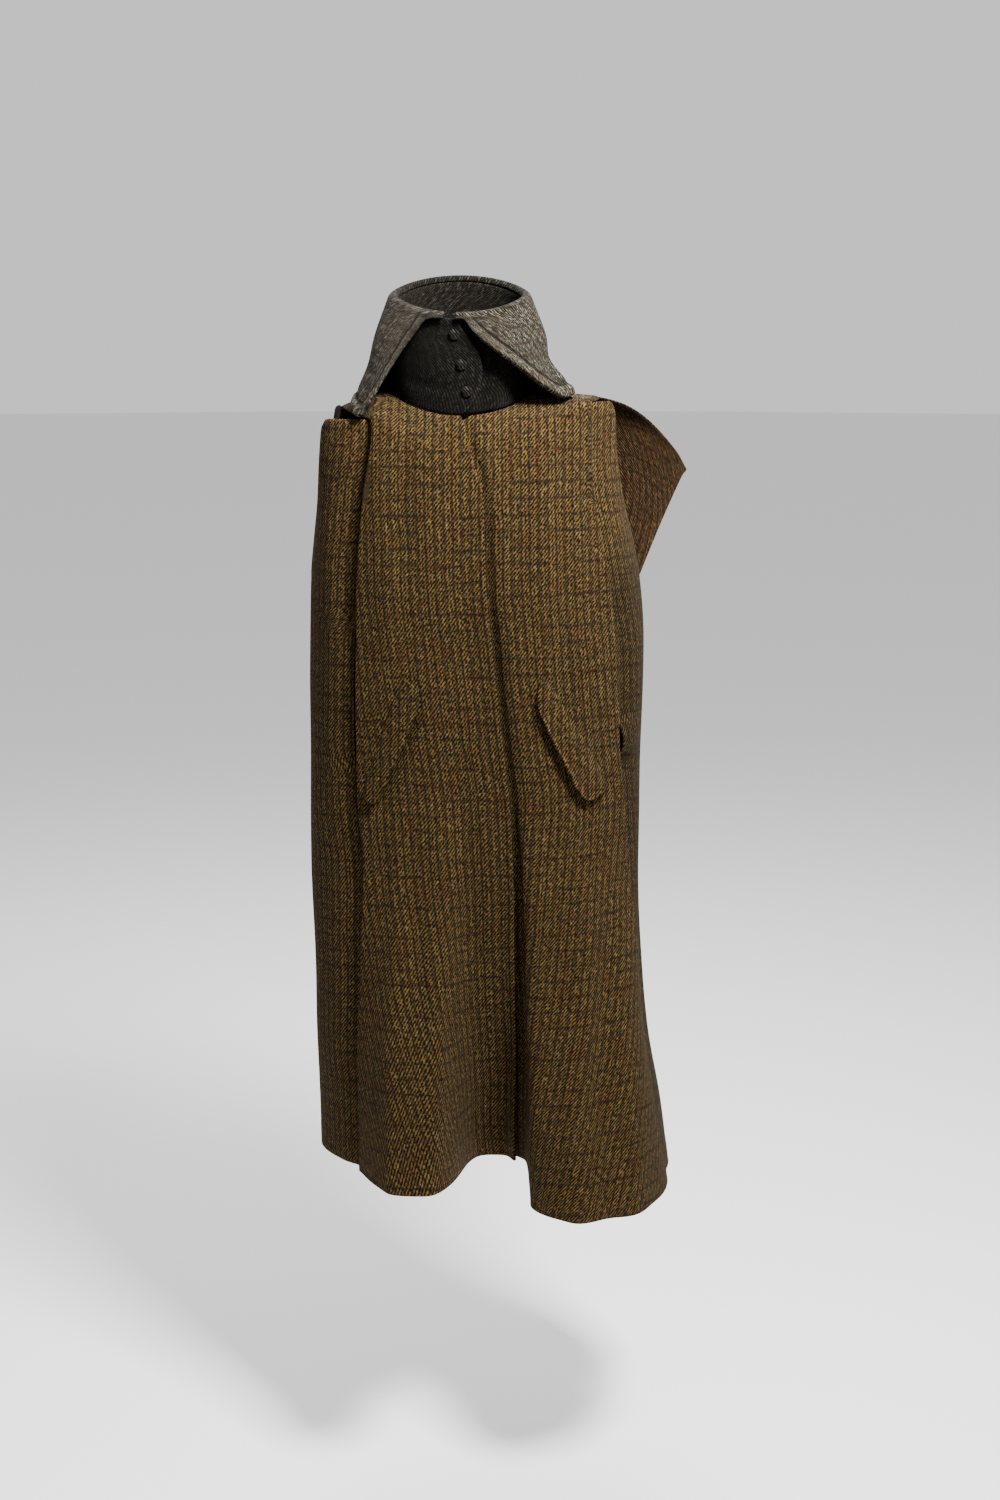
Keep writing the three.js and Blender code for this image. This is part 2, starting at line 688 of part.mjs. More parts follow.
function buttonGeometry({ x, z }) {
  const profile = BUTTON_PROFILE.map(([r, h]) => new THREE.Vector2(r * BUTTON_RADIUS, h * BUTTON_HEIGHT));
  const geometry = new THREE.LatheGeometry(profile, 16);
  let best = standPoint(-90, 0.5, 0);
  let bestDegrees = -90;
  let bestHeight = 0.5;
  let nearest = Infinity;
  for (let degrees = -110; degrees <= -70; degrees += 0.5) {
    for (let height = 0; height <= 1; height += 0.01) {
      const point = standPoint(degrees, height, 0);
      const distance = Math.hypot(point.x - x, point.z - z);
      if (distance < nearest) {
        nearest = distance;
        best = point;
        bestDegrees = degrees;
        bestHeight = height;
      }
    }
  }
  const across = standPoint(bestDegrees + 1, bestHeight, 0).sub(standPoint(bestDegrees - 1, bestHeight, 0));
  const upwards = standPoint(bestDegrees, bestHeight + 0.02, 0).sub(standPoint(bestDegrees, bestHeight - 0.02, 0));
  const outward = across.cross(upwards).normalize();
  const turn = new THREE.Quaternion().setFromUnitVectors(new THREE.Vector3(0, 1, 0), outward);
  const place = best.clone().addScaledVector(outward, COLLAR_CLOTH / 2 + 0.5);
  geometry.applyQuaternion(turn);
  geometry.translate(place.x, place.y, place.z);
  return geometry;
}

const tweed = new THREE.MeshStandardMaterial({ color: 0x6b5230, roughness: 0.95 });
const collarTweed = new THREE.MeshStandardMaterial({ color: 0x6c675a, roughness: 0.95 });
const buttonCover = new THREE.MeshStandardMaterial({ color: 0x4d4a42, roughness: 0.8 });

const coat = new THREE.Group();
coat.name = 'wool_cape_coat';
coat.add(named('front_right', centreFront('left'), tweed));
coat.add(named('front_left', centreFront('right'), tweed));
coat.add(named('side_front_right', sideFront('left'), tweed));
coat.add(named('side_front_left', sideFront('right'), tweed));
coat.add(named('back', backPanel(), tweed));
coat.add(named('pocket_flap_right', pocketFlap('right'), tweed));
coat.add(named('pocket_flap_left', pocketFlap('left'), tweed));
coat.add(named('collar_stand', collarStand(), collarTweed));
coat.add(named('collar_fall', collarFall(), collarTweed));
for (const button of BUTTONS) coat.add(named(button.name, buttonGeometry(button), buttonCover));

export default coat;
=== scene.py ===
"""A long sleeveless cape coat in checked wool tweed, hanging hollow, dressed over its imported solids."""

import math

import bpy
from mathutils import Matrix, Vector


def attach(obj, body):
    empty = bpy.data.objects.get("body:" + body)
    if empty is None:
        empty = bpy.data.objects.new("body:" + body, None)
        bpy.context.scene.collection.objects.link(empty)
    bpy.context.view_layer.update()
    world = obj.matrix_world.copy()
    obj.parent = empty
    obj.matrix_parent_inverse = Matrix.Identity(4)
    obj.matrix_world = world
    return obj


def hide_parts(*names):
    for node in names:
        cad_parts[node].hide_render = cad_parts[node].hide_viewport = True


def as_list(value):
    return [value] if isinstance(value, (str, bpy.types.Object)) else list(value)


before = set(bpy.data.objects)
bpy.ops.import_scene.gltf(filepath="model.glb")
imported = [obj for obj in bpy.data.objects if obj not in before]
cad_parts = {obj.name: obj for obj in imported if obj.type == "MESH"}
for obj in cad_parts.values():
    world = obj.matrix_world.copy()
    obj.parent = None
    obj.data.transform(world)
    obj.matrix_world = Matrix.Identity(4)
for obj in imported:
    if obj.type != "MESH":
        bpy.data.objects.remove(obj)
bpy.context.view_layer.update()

# Sizes in millimetres: x to the right of a viewer in front, y to the back, z up.
# The tables and functions call the viewer's sides left and right; the pieces are named after the wearer's.
MILLIMETRE = 0.001
CLOTH = 3.0
COLLAR_CLOTH = 4.4
SEAM_GAP = 0.35
SHOULDER_GAP = 1.0
FRONT_LAP_GAP = 1.3
LAP_DROP = 1.25
LAYER_GAP = 0.9
UNDER_LAP = 38.0
HEM_SAG = -32.0
HEM_HEIGHT = -1050.0
ARMHOLE_BOTTOM = -240.0
YOKE_BOTTOM = -136.0
WING_TOP = {"left": -24.0, "right": -2.0}
SLIT_TOP = -270.0
SLIT_BOTTOM = -490.0
SEAM_TUCK = 9.0
SLIT_TUCK = 15.0
TUCK_REACH = 34.0
SEAM_CALM = 34.0
SEAM_LAP = 8.0
SEAM_STEP = {"left": 12.0, "right": 7.5}
SLIT_SHOWN = {"left": (-272, -484), "right": (-410, -478)}
SLIT_GAP = {"left": 8.0, "right": 5.0}
SLIT_DEPTH = {"left": 12.0, "right": -0.5}
EDGE_TUCK_SHARE = -0.12
EDGE_ROLL = 9.0
FOLD_TOP = -520.0
YOKE_FRONT_DROP = -58.0
YOKE_BACK_DROP = -44.0

# Level sections of the body: reach to each side, to the front and to the back, and squareness.
SECTION_COLUMNS = ("z", "left", "right", "front", "back", "square")
SECTIONS = [
    (0, -186, 204, 98, 96, 2.4),
    (-24, -189, 206, 106, 102, 2.4),
    (-70, -191, 206, 120, 112, 2.4),
    (-136, -193, 217, 129, 119, 2.4),
    (-190, -198, 229, 131, 121, 2.4),
    (-240, -203, 239, 131, 121, 2.4),
    (-326, -206, 246, 129, 120, 2.4),
    (-494, -209, 243, 125, 121, 2.4),
    (-637, -211, 243, 123, 126, 2.4),
    (-743, -207, 248, 123, 133, 2.4),
    (-864, -207, 260, 126, 146, 2.3),
    (-960, -205, 279, 129, 162, 2.2),
    (HEM_HEIGHT, -203, 292, 132, 176, 2.2),
]

# Where the front seams and the overlapping front edge run, from the shoulder to the hem.
LINE_COLUMNS = ("z", "left", "right", "edge")
SEAM_LINES = [
    (0, -116, 171, 0),
    (-54, -116, 171, 11),
    (-119, -127, 173, 28),
    (-240, -137, 193, 33),
    (-326, -139, 209, 41),
    (-436, -141, 211, 53),
    (-532, -140, 218, 64),
    (-618, -134, 228, 68),
    (-746, -137, 240, 71),
    (-884, -143, 256, 74),
    (HEM_HEIGHT, -142, 284, 75),
]

# Deep folds that open towards the hem: middle, half width, depth there, and the layer they lie in.
FRONT_FOLDS = [(-76, 62, 84, "over"), (42, 42, -72, "over"), (192, 104, 98, "under")]
BACK_FOLDS = [(-130, 48, 22), (-45, 40, -26), (45, 48, 26), (130, 38, -24), (205, 44, 26)]

NECK = {"middle": 0, "half": 88, "front": 98, "back": 80, "z_front": -19, "z_side": 8, "z_back": 14}
STAND_TOP = {"middle": -2, "half": 84, "front": 84, "back": 66, "z_front": 104, "z_side": 129, "z_back": 152}
SHOULDER_END = {"left": (-161, 2, -11), "right": (180, 6, 2)}
BACK_WING = {
    "left": {"corner": (-174, 84, -15), "rise": 2, "swing": 52},
    "right": {"corner": (309, 82, -94), "rise": 22, "swing": 56},
}
FRONT_WING_TURN = {"left": 17, "right": 12}
# The front on the viewer's left lies over the other one.
LAYERS = {"left": "over", "right": "under"}
TO_SIDE = {"left": -1, "right": 1}
FRONT_SIDE_ANGLE = {"left": -math.pi, "right": 0.0}
BACK_SIDE_ANGLE = {"left": math.pi, "right": 0.0}


def mix(a, b, share):
    return a + (b - a) * share


def ease(value, low, high):
    share = min(1.0, max(0.0, (value - low) / (high - low)))
    return share * share * (3 - 2 * share)


def signed_power(value, exponent):
    return math.copysign(abs(value) ** exponent, value)


def steps(low, high, count):
    return [mix(low, high, i / (count - 1)) for i in range(count)]


def read_row(table, z):
    """All columns of a table at a height, along smooth curves through its rows."""
    last = len(table) - 1
    if z >= table[0][0]:
        return table[0]
    if z <= table[last][0]:
        return table[last]
    i = 0
    while z < table[i + 1][0]:
        i += 1
    span = table[i + 1][0] - table[i][0]
    t = (z - table[i][0]) / span
    keep = 2 * t**3 - 3 * t**2 + 1
    before, after = max(0, i - 1), min(last, i + 2)
    values = [z]
    for c in range(1, len(table[0])):
        slope_a = (table[i + 1][c] - table[before][c]) / (table[i + 1][0] - table[before][0])
        slope_b = (table[after][c] - table[i][c]) / (table[after][0] - table[i][0])
        values.append(
            table[i][c] * keep
            + table[i + 1][c] * (1 - keep)
            + slope_a * span * (t**3 - 2 * t**2 + t)
            + slope_b * span * (t**3 - t**2)
        )
    return values


cached_rows = {}


def section(z):
    key = round(z, 3)
    if key not in cached_rows:
        row = dict(zip(SECTION_COLUMNS, read_row(SECTIONS, z)))
        lines = dict(zip(LINE_COLUMNS, read_row(SEAM_LINES, z)))
        middle, half = (row["left"] + row["right"]) / 2, (row["right"] - row["left"]) / 2
        cached_rows[key] = (middle, half, row["front"], row["back"], row["square"], lines)
    return cached_rows[key]


def front_angle(x, z):
    """The angle on the section at which the front of the cloth reaches a sideways place."""
    middle, half, _, _, square, _ = section(z)
    return -math.acos(max(-1.0, min(1.0, signed_power((x - middle) / half, square / 2))))


def seam_angle(z, side):
    return front_angle(section(z)[5][side], z)


# Soft creases, in their own sizes: where across, top, bottom, half width, and depth out of the cloth.
FRONT_CREASES = [
    (-102, -60, -330, 16, 3.0),
    (-74, -30, -210, 12, -2.2),
    (-40, -150, -420, 20, 2.4),
    (-112, -520, -1050, 14, -4.0),
    (-92, -560, -1050, 13, 4.0),
    (-58, -640, -1050, 12, -3.6),
    (-30, -560, -900, 14, 3.0),
    (2, -420, -760, 16, -3.2),
    (28, -600, -1000, 12, 2.6),
    (70, -90, -330, 18, -2.6),
    (104, -40, -300, 17, 3.2),
    (138, -30, -250, 14, -3.0),
    (150, -180, -420, 16, 2.6),
    (98, -540, -960, 15, 4.4),
    (126, -620, -1050, 16, -4.6),
    (160, -560, -1050, 14, 3.6),
    (196, -600, -1050, 17, -4.4),
    (226, -680, -1050, 15, 4.0),
    (-170, -40, -360, 12, 2.8),
    (-186, -300, -760, 12, -2.6),
    (-164, -600, -1050, 12, 3.0),
    (196, -60, -260, 10, 2.0),
]
BACK_CREASES = [
    (-140, -50, -420, 18, 3.0),
    (-96, -300, -800, 20, -3.4),
    (-40, -60, -330, 22, 2.6),
    (10, -380, -980, 20, 3.6),
    (60, -80, -460, 20, -3.0),
    (112, -60, -300, 16, 3.2),
    (160, -340, -900, 18, 3.6),
    (-170, -500, -1050, 14, 3.4),
    (214, -520, -1050, 16, -3.2),
    (-70, -700, -1050, 16, 3.4),
    (92, -760, -1050, 15, -3.6),
]


CREASE_REACH = 60
CREASE_WANDER = 7
CREASE_WANDER_LENGTH = 97


def crease_lift(x, z, creases):
    lift = 0.0
    for across, top, bottom, half_width, depth in creases:
        if abs(x - across) > 3 * half_width or z > top + CREASE_REACH or z < bottom - CREASE_REACH:
            continue
        wander = CREASE_WANDER * math.sin(z / CREASE_WANDER_LENGTH + across)
        along = ease(z, top + 50, top - 60) * ease(z, bottom - 50, bottom + 60) if bottom > HEM_HEIGHT else 0
        if bottom <= HEM_HEIGHT:
            along = ease(z, top + 50, top - 160)
        lift += depth * along * math.exp(-(((x - across - wander) / half_width) ** 2))
    return lift


# Long waves in the hanging cloth: height, how often around, how often downwards, and start.
SETTLE_WAVES = [(0.9, 1.7, 0.011, 0.0), (0.7, 2.9, -0.019, 1.3), (0.5, 0.8, 0.037, 0.4)]


def settle(x, y, z):
    """Slight unevenness of hanging cloth: a few long waves across one another."""
    around = x * 0.021 + y * 0.017
    lift = 0.0
    for height, turns, falls, start in SETTLE_WAVES:
        lift += height * math.sin(around * turns + z * falls + start)
    return lift


def fold_growth(z):
    return max(0.0, (FOLD_TOP - z) / (FOLD_TOP - HEM_HEIGHT)) ** 1.5


def body_point(angle, z, layer):
    """Point on the cloth before seams are drawn in. Past the front edge the under layer comes forward."""
    middle, half, front, back, square, lines = section(z)
    cosine, sine = math.cos(angle), math.sin(angle)
    x = middle + half * signed_power(cosine, 2 / square)
    y = (front if sine < 0 else back) * signed_power(sine, 2 / square)
    growth = fold_growth(z)
    if growth == 0:
        return Vector((x, y, z))
    if sine < 0:
        edge = lines["edge"]
        passed = ease(x, edge + 2, edge + 12) if layer == "under" else 0.0
        push = 0.0
        for fold_middle, reach, depth, fold_layer in FRONT_FOLDS:
            share = passed if fold_layer == "under" else 1 - passed
            push += depth * math.exp(-(((x - fold_middle) / reach) ** 4)) * share
        y -= push * growth * ease(-sine, 0, 0.4)
        sag = HEM_SAG * passed
    else:
        push = sum(depth * math.exp(-(((x - at) / reach) ** 4)) for at, reach, depth in BACK_FOLDS)
        y += push * growth * ease(sine, 0, 0.4)
        sag = HEM_SAG * ease(x, -100, 200)
    return Vector((x, y, z + sag * growth))


ANGLE_STEP = 0.01


def sunk_body(angle, z, layer, depth, creases=()):
    """A body point moved inwards by a depth, with its creases."""
    here = body_point(angle, z, layer)
    along = body_point(angle + ANGLE_STEP, z, layer) - body_point(angle - ANGLE_STEP, z, layer)
    outward = Vector((along.y, -along.x, 0)).normalized()
    lift = crease_lift(here.x, z, creases) + settle(here.x, here.y, z) if creases else 0.0
    # Front and back meet at the side seams, so the creases die out there.
    lift *= ease(abs(here.y), 2, SEAM_CALM)
    return here + outward * (lift - depth)


def cloth_speed(angle, z, layer):
    """Millimetres of cloth for each radian around the body."""
    along = body_point(angle + ANGLE_STEP, z, layer) - body_point(angle - ANGLE_STEP, z, layer)
    return along.length / (2 * ANGLE_STEP)


def seam_tuck(z, part):
    """How deep the seam between centre front and side front is drawn in; the slit stays open."""
    in_slit = ease(z, SLIT_BOTTOM - 30, SLIT_BOTTOM + 6) * (1 - ease(z, SLIT_TOP - 6, SLIT_TOP + 24))
    below = ease(z, HEM_HEIGHT - 200, SLIT_BOTTOM)
    above = 1 - ease(z, YOKE_BOTTOM, WING_TOP["left"])
    seam = SEAM_TUCK * mix(0.6, 1, below) * above
    return mix(seam, SLIT_TUCK, in_slit) if part == "side" else seam * (1 - in_slit)


class Wall:
    """A closed wall of cloth on a grid of middle points, with its own thickness and cloth coordinates.

    Each grid point is a tuple: place, across and down the cloth in metres, and thickness in millimetres.
    """

    def __init__(self, name, rows, columns, point_at, filled=None, facing=1, shaded_rows=0):
        self.name = name
        self.facing = facing
        self.shaded_points = shaded_rows * columns
        self.points = [point_at(r, c) for r in range(rows) for c in range(columns)]
        first = {}
        same = []
        for i, (place, _, _, _) in enumerate(self.points):
            key = tuple(round(n, 3) for n in place)
            same.append(first.setdefault(key, i))
        self.faces = []
        for r in range(rows - 1):
            for c in range(columns - 1):
                if filled and not filled(r, c):
                    continue
                here = r * columns + c
                around = (here, here + columns, here + columns + 1, here + 1)
                face = []
                for corner in around:
                    if same[corner] not in face:
                        face.append(same[corner])
                if len(face) > 2:
                    self.faces.append(face)

    def build(self, material, smooth_levels=1):
        count = len(self.points)
        normals = [Vector() for _ in range(count)]
        for face in self.faces:
            corners = [self.points[i][0] for i in face]
            normal = (corners[1] - corners[0]).cross(corners[-1] - corners[0])
            if len(face) == 4:
                normal += (corners[3] - corners[2]).cross(corners[1] - corners[2])
            for i in face:
                normals[i] += normal
        border = {}
        for face in self.faces:
            for n, start in enumerate(face):
                end = face[(n + 1) % len(face)]
                if (end, start) in border:
                    del border[(end, start)]
                else:
                    border[(start, end)] = True
        used = {}
        places, cloth, swell = [], [], []

        def corner(i, side):
            if (i, side) not in used:
                place, across, down, thickness = self.points[i]
                used[(i, side)] = len(places)
                lifted = place + normals[i].normalized() * (side * thickness / 2)
                places.append([n * MILLIMETRE for n in lifted])
                # Points of the first shaded rows show the inner face's darker colour on both sides, as painted
                # shade.
                shown = -1.0 if i < self.shaded_points else float(side * self.facing)
                cloth.append((across * self.facing, down, shown))
                swell.append(thickness)
            return used[(i, side)]

        polygons = []
        for face in self.faces:
            polygons.append([corner(i, 1) for i in face])
            polygons.append([corner(i, -1) for i in reversed(face)])
        for start, end in border:
            polygons.append([corner(end, 1), corner(start, 1), corner(start, -1), corner(end, -1)])
        return solid_piece(self.name, places, polygons, cloth, swell, material, smooth_levels)


def solid_piece(name, places, polygons, cloth, swell, material, smooth_levels=1):
    """A mesh object that carries its cloth coordinates and its thickness in millimetres at each point."""
    mesh = bpy.data.meshes.new(name)
    mesh.from_pydata(places, [], polygons)
    mesh.polygons.foreach_set("use_smooth", [True] * len(mesh.polygons))
    attribute = mesh.attributes.new("cloth", "FLOAT_VECTOR", "POINT")
    attribute.data.foreach_set("vector", [n for row in cloth for n in row])
    mesh.attributes.new("swell", "FLOAT", "POINT").data.foreach_set("value", swell)
    mesh.materials.append(material)
    mesh.validate()
    piece = bpy.data.objects.new(name, mesh)
    bpy.context.scene.collection.objects.link(piece)
    if smooth_levels:
        rounding = piece.modifiers.new("rounded edges", "SUBSURF")
        rounding.levels = smooth_levels
        rounding.render_levels = smooth_levels
    return piece


def lengths_from(zero, places):
    """How far each place lies along a line from the one at zero, and below 0 before it."""
    run = [0.0] * len(places)
    for i in range(zero + 1, len(places)):
        run[i] = run[i - 1] + (places[i] - places[i - 1]).length
    for i in range(zero - 1, -1, -1):
        run[i] = run[i + 1] - (places[i] - places[i + 1]).length
    return run


def cloth_wall(
    name, rows, columns, point_at, material, zero, offset, facing, filled=None, shaded_rows=0, upright=False
):
    """Lays the cloth over a grid: lengths along the rows and columns become the cloth's own coordinates."""
    grid = [[point_at(r, c) for c in range(columns)] for r in range(rows)]
    zero_row, zero_column = zero
    across = [lengths_from(zero_column, [place for place, _ in line]) for line in grid]
    fallen = [lengths_from(zero_row, [line[c][0] for line in grid]) for c in range(columns)]
    down = [[fallen[c][r] for c in range(columns)] for r in range(rows)]

    if upright:
        # Above the zero row the cloth's threads keep standing upright over the chest and shoulder.
        zero_line = [(grid[zero_row][c][0].x, across[zero_row][c]) for c in range(columns)]
        zero_line.sort(reverse=True)
        for r in range(zero_row - 1, -1, -1):
            for c in range(columns):
                place, below = grid[r][c][0], grid[r + 1][c][0]
                across[r][c] = read_row(zero_line, place.x)[1]
                down[r][c] = down[r + 1][c] - math.hypot(place.y - below.y, place.z - below.z)

    def laid(r, c):
        place, thickness = grid[r][c]
        u = across[r][c] * MILLIMETRE + offset[0]
        v = down[r][c] * MILLIMETRE + offset[1]
        return place, u, v, thickness

    return Wall(name, rows, columns, laid, filled, facing, shaded_rows).build(material)


BAND_WIDTH = 13.0
BAND_EXTRA = 1.8
HEM_WIDTH = 34
HEM_EXTRA = 1.0
STITCH_DIP = 0.7
STITCH_REACH = 6


def band(distance, width=BAND_WIDTH, extra=BAND_EXTRA):
    """Extra thickness of a turned edge, with a slight dip where its stitches pull it in."""
    if distance > width + STITCH_REACH:
        return 0.0
    dip = STITCH_DIP * math.exp(-(((distance - width) / 2.0) ** 2))
    return extra * (1 - ease(distance, width - 1, width + 1.5)) - dip


CAP_ROWS = steps(0, 1, 10)
YOKE_SHARES = steps(0, 1, 14)[:-1]
ARMHOLE_LEVELS = steps(YOKE_BOTTOM, ARMHOLE_BOTTOM, 13)
LOWER_LEVELS = steps(ARMHOLE_BOTTOM, HEM_HEIGHT, 88)[1:]
LEVELS = ARMHOLE_LEVELS + LOWER_LEVELS[:-1] + [HEM_HEIGHT + 5.5, HEM_HEIGHT + 2.5, HEM_HEIGHT]
BODY_ROWS = len(YOKE_SHARES) + len(LEVELS)
ARMHOLE_ROWS = len(YOKE_SHARES) + len(ARMHOLE_LEVELS) - 1
TOP_ROWS = len(CAP_ROWS) - 1
CLOTH_ZERO_ROW = TOP_ROWS + len(YOKE_SHARES)


def row_height(row, edge_height):
    """The rows just under the shoulder follow its edge; the lower ones are level."""
    if row < len(YOKE_SHARES):
        return mix(edge_height, YOKE_BOTTOM, YOKE_SHARES[row])
    return LEVELS[row - len(YOKE_SHARES)]


def neck_point(ring, angle):
    cosine, sine = math.cos(angle), math.sin(angle)
    depth = ring["front"] if sine < 0 else ring["back"]
    end = ring["z_front"] if sine < 0 else ring["z_back"]
    height = mix(ring["z_side"], end, abs(sine) ** 1.4)
    return Vector((ring["middle"] + ring["half"] * cosine, depth * sine, height))


def cap_point(neck, edge, share):
    """Between the neck seam and the edge of the shoulder the cloth lies almost level, then turns down."""
    point = neck.lerp(edge, share)
    point.z = mix(neck.z, edge.z, share**1.5)
    return point


# Corners of the flaps, x and z: top outer, top inner, bottom inner and bottom outer.
POCKET_FLAPS = {
    "left": [(-76, -352), (-47, -380), (-112, -534), (-134, -520)],
    "right": [(106, -346), (95, -392), (160, -533), (200, -510)],
}
FLAP_HOLLOW = {"left": 6.5, "right": 3.0}
HOLLOW_HALF_WIDTH = 7.0


def flap_hollow(x, z, side):
    """How far the front sinks along the lower part of the flap's free edge."""
    _, top, bottom, _ = POCKET_FLAPS[side]
    run, fall = bottom[0] - top[0], bottom[1] - top[1]
    along = ((x - top[0]) * run + (z - top[1]) * fall) / (run * run + fall * fall)
    near = min(1.0, max(0.25, along))
    distance = math.hypot(x - top[0] - near * run, z - top[1] - near * fall)
    return FLAP_HOLLOW[side] * math.exp(-((distance / HOLLOW_HALF_WIDTH) ** 2))


OVER_STEPS = [0, 1.2, 3, 6, 10, 14, 18, 24, 31, UNDER_LAP]
UNDER_STEPS = [-UNDER_LAP, -30, -22, -14, -8, -4, 0, 2.5, 4.5, 6, 7.5, 9, 11, 14, 18, 23, 29]
CENTRE_COLUMNS = 22
CAP_SIDE_COLUMNS = 7
OVER_EDGE_LIFT = 2.5
UNDER_EDGE_SINK = 9.0
EDGE_LIFT_REACH = 12


def centre_front(name, side, material, offset):
    """One centre front: from its front edge to the side seam, and over the shoulder to the shoulder seam."""
    layer = LAYERS[side]
    to_side = TO_SIDE[side]
    lap = OVER_STEPS if layer == "over" else UNDER_STEPS
    shares = steps(0, 1, CENTRE_COLUMNS)[1:-1] + [0.975, 0.99]
    centre_columns = len(lap) + len(shares) + 2
    columns = centre_columns + CAP_SIDE_COLUMNS
    sink = CLOTH + FRONT_LAP_GAP if layer == "under" else 0.0
    cache = {}

    def column_angles(z):
        key = round(z, 3)
        if key in cache:
            return cache[key]
        edge = section(z)[5]["edge"]
        angles = [front_angle(edge + to_side * step, z) for step in lap]
        near, far = angles[-1], seam_angle(z, side)
        speed = cloth_speed(far, z, layer)
        reach = abs(far - near)
        rolled = 1 - EDGE_ROLL / (reach * speed)
        inner = [s * rolled for s in shares] + [1 - 0.45 * EDGE_ROLL / (reach * speed)]
        angles += [mix(near, far, s) for s in inner] + [mix(near, far, 1 - SEAM_GAP / 2 / (reach * speed))]
        cache[key] = angles
        return angles

    def lapped(column):
        return 1 - ease(lap[column], 2, 15) if column < len(lap) else 0.0

    def body_at(column, z):
        angle = column_angles(z)[column]
        tuck = seam_tuck(z, "centre")
        edge_tucks = {centre_columns - 1: tuck, centre_columns - 2: tuck * 0.5}
        inwards = edge_tucks.get(column, 0.0) * EDGE_TUCK_SHARE
        if column < len(lap):
            opened = mix(0.35, 1, ease(z, -110, -300))
            if layer == "over":
                inwards -= OVER_EDGE_LIFT * opened * math.exp(-((lap[column] / EDGE_LIFT_REACH) ** 2))
            else:
                inwards += UNDER_EDGE_SINK * opened * math.exp(-(((lap[column] - 4) / EDGE_LIFT_REACH) ** 2))
        point = sunk_body(angle, z, layer, inwards + lapped(column) * sink, FRONT_CREASES)
        point.y += flap_hollow(point.x, z, side)
        return point

    def edge_height(column):
        share = column / (centre_columns - 1)
        return mix(YOKE_FRONT_DROP, WING_TOP[side], ease(share**1.6, 0, 1))

    def edge_point(column):
        if column < centre_columns:
            point = body_at(column, edge_height(column))
            point.z -= lapped(column) * sink * LAP_DROP
            return point
        share = (column - centre_columns + 1) / CAP_SIDE_COLUMNS
        end_x, end_y, end_z = SHOULDER_END[side]
        start = body_at(centre_columns - 1, WING_TOP[side])
        point = start.lerp(Vector((end_x, end_y - SHOULDER_GAP / 2, end_z)), share)
        point.x += to_side * 7 * math.sin(share * math.pi)
        return point

    def cap_at(row, column):
        near_x = to_side * (lap[column] if column < len(lap) else lap[-1])
        share = 0.0 if column < len(lap) else (column - len(lap) + 1) / (columns - len(lap))
        neck = neck_point(NECK, mix(-math.acos(near_x / NECK["half"]), FRONT_SIDE_ANGLE[side], share))
        neck.z -= lapped(column) * sink * LAP_DROP
        if column == columns - 1:
            neck.y -= SHOULDER_GAP / 2
        return cap_point(neck, edge_point(column), CAP_ROWS[row])

    def point_at(row, column):
        body_row = row - TOP_ROWS
        free = abs(lap[column]) if column < len(lap) and layer == "over" else math.inf
        thick = CLOTH + band(free, 7, 1.2)
        if row < TOP_ROWS:
            return cap_at(row, column), thick
        if column >= centre_columns or body_row == 0:
            return edge_point(column), thick
        z = row_height(body_row, edge_height(column))
        return body_at(column, z), thick + band(z - HEM_HEIGHT, HEM_WIDTH, HEM_EXTRA)

    def filled(row, column):
        return row < TOP_ROWS or column < centre_columns - 1

    rows = TOP_ROWS + BODY_ROWS
    zero = (CLOTH_ZERO_ROW, lap.index(0))
    return cloth_wall(name, rows, columns, point_at, material, zero, offset, to_side, filled, upright=True)


SIDE_SHARES = [0, 0.02, 0.05, 0.1, 0.16, 0.23, 0.31, 0.4, 0.49, 0.58, 0.66, 0.74, 0.81, 0.87]
SIDE_SHARES += [0.92, 0.95, 0.975, 1]
SEAM_UNDER = 3.0
SEAM_UNDER_DEPTH = 3.6
SEAM_UNDER_REACH = 6
WING_CORNER_DROP = 10
WING_CORNER_REACH = 12


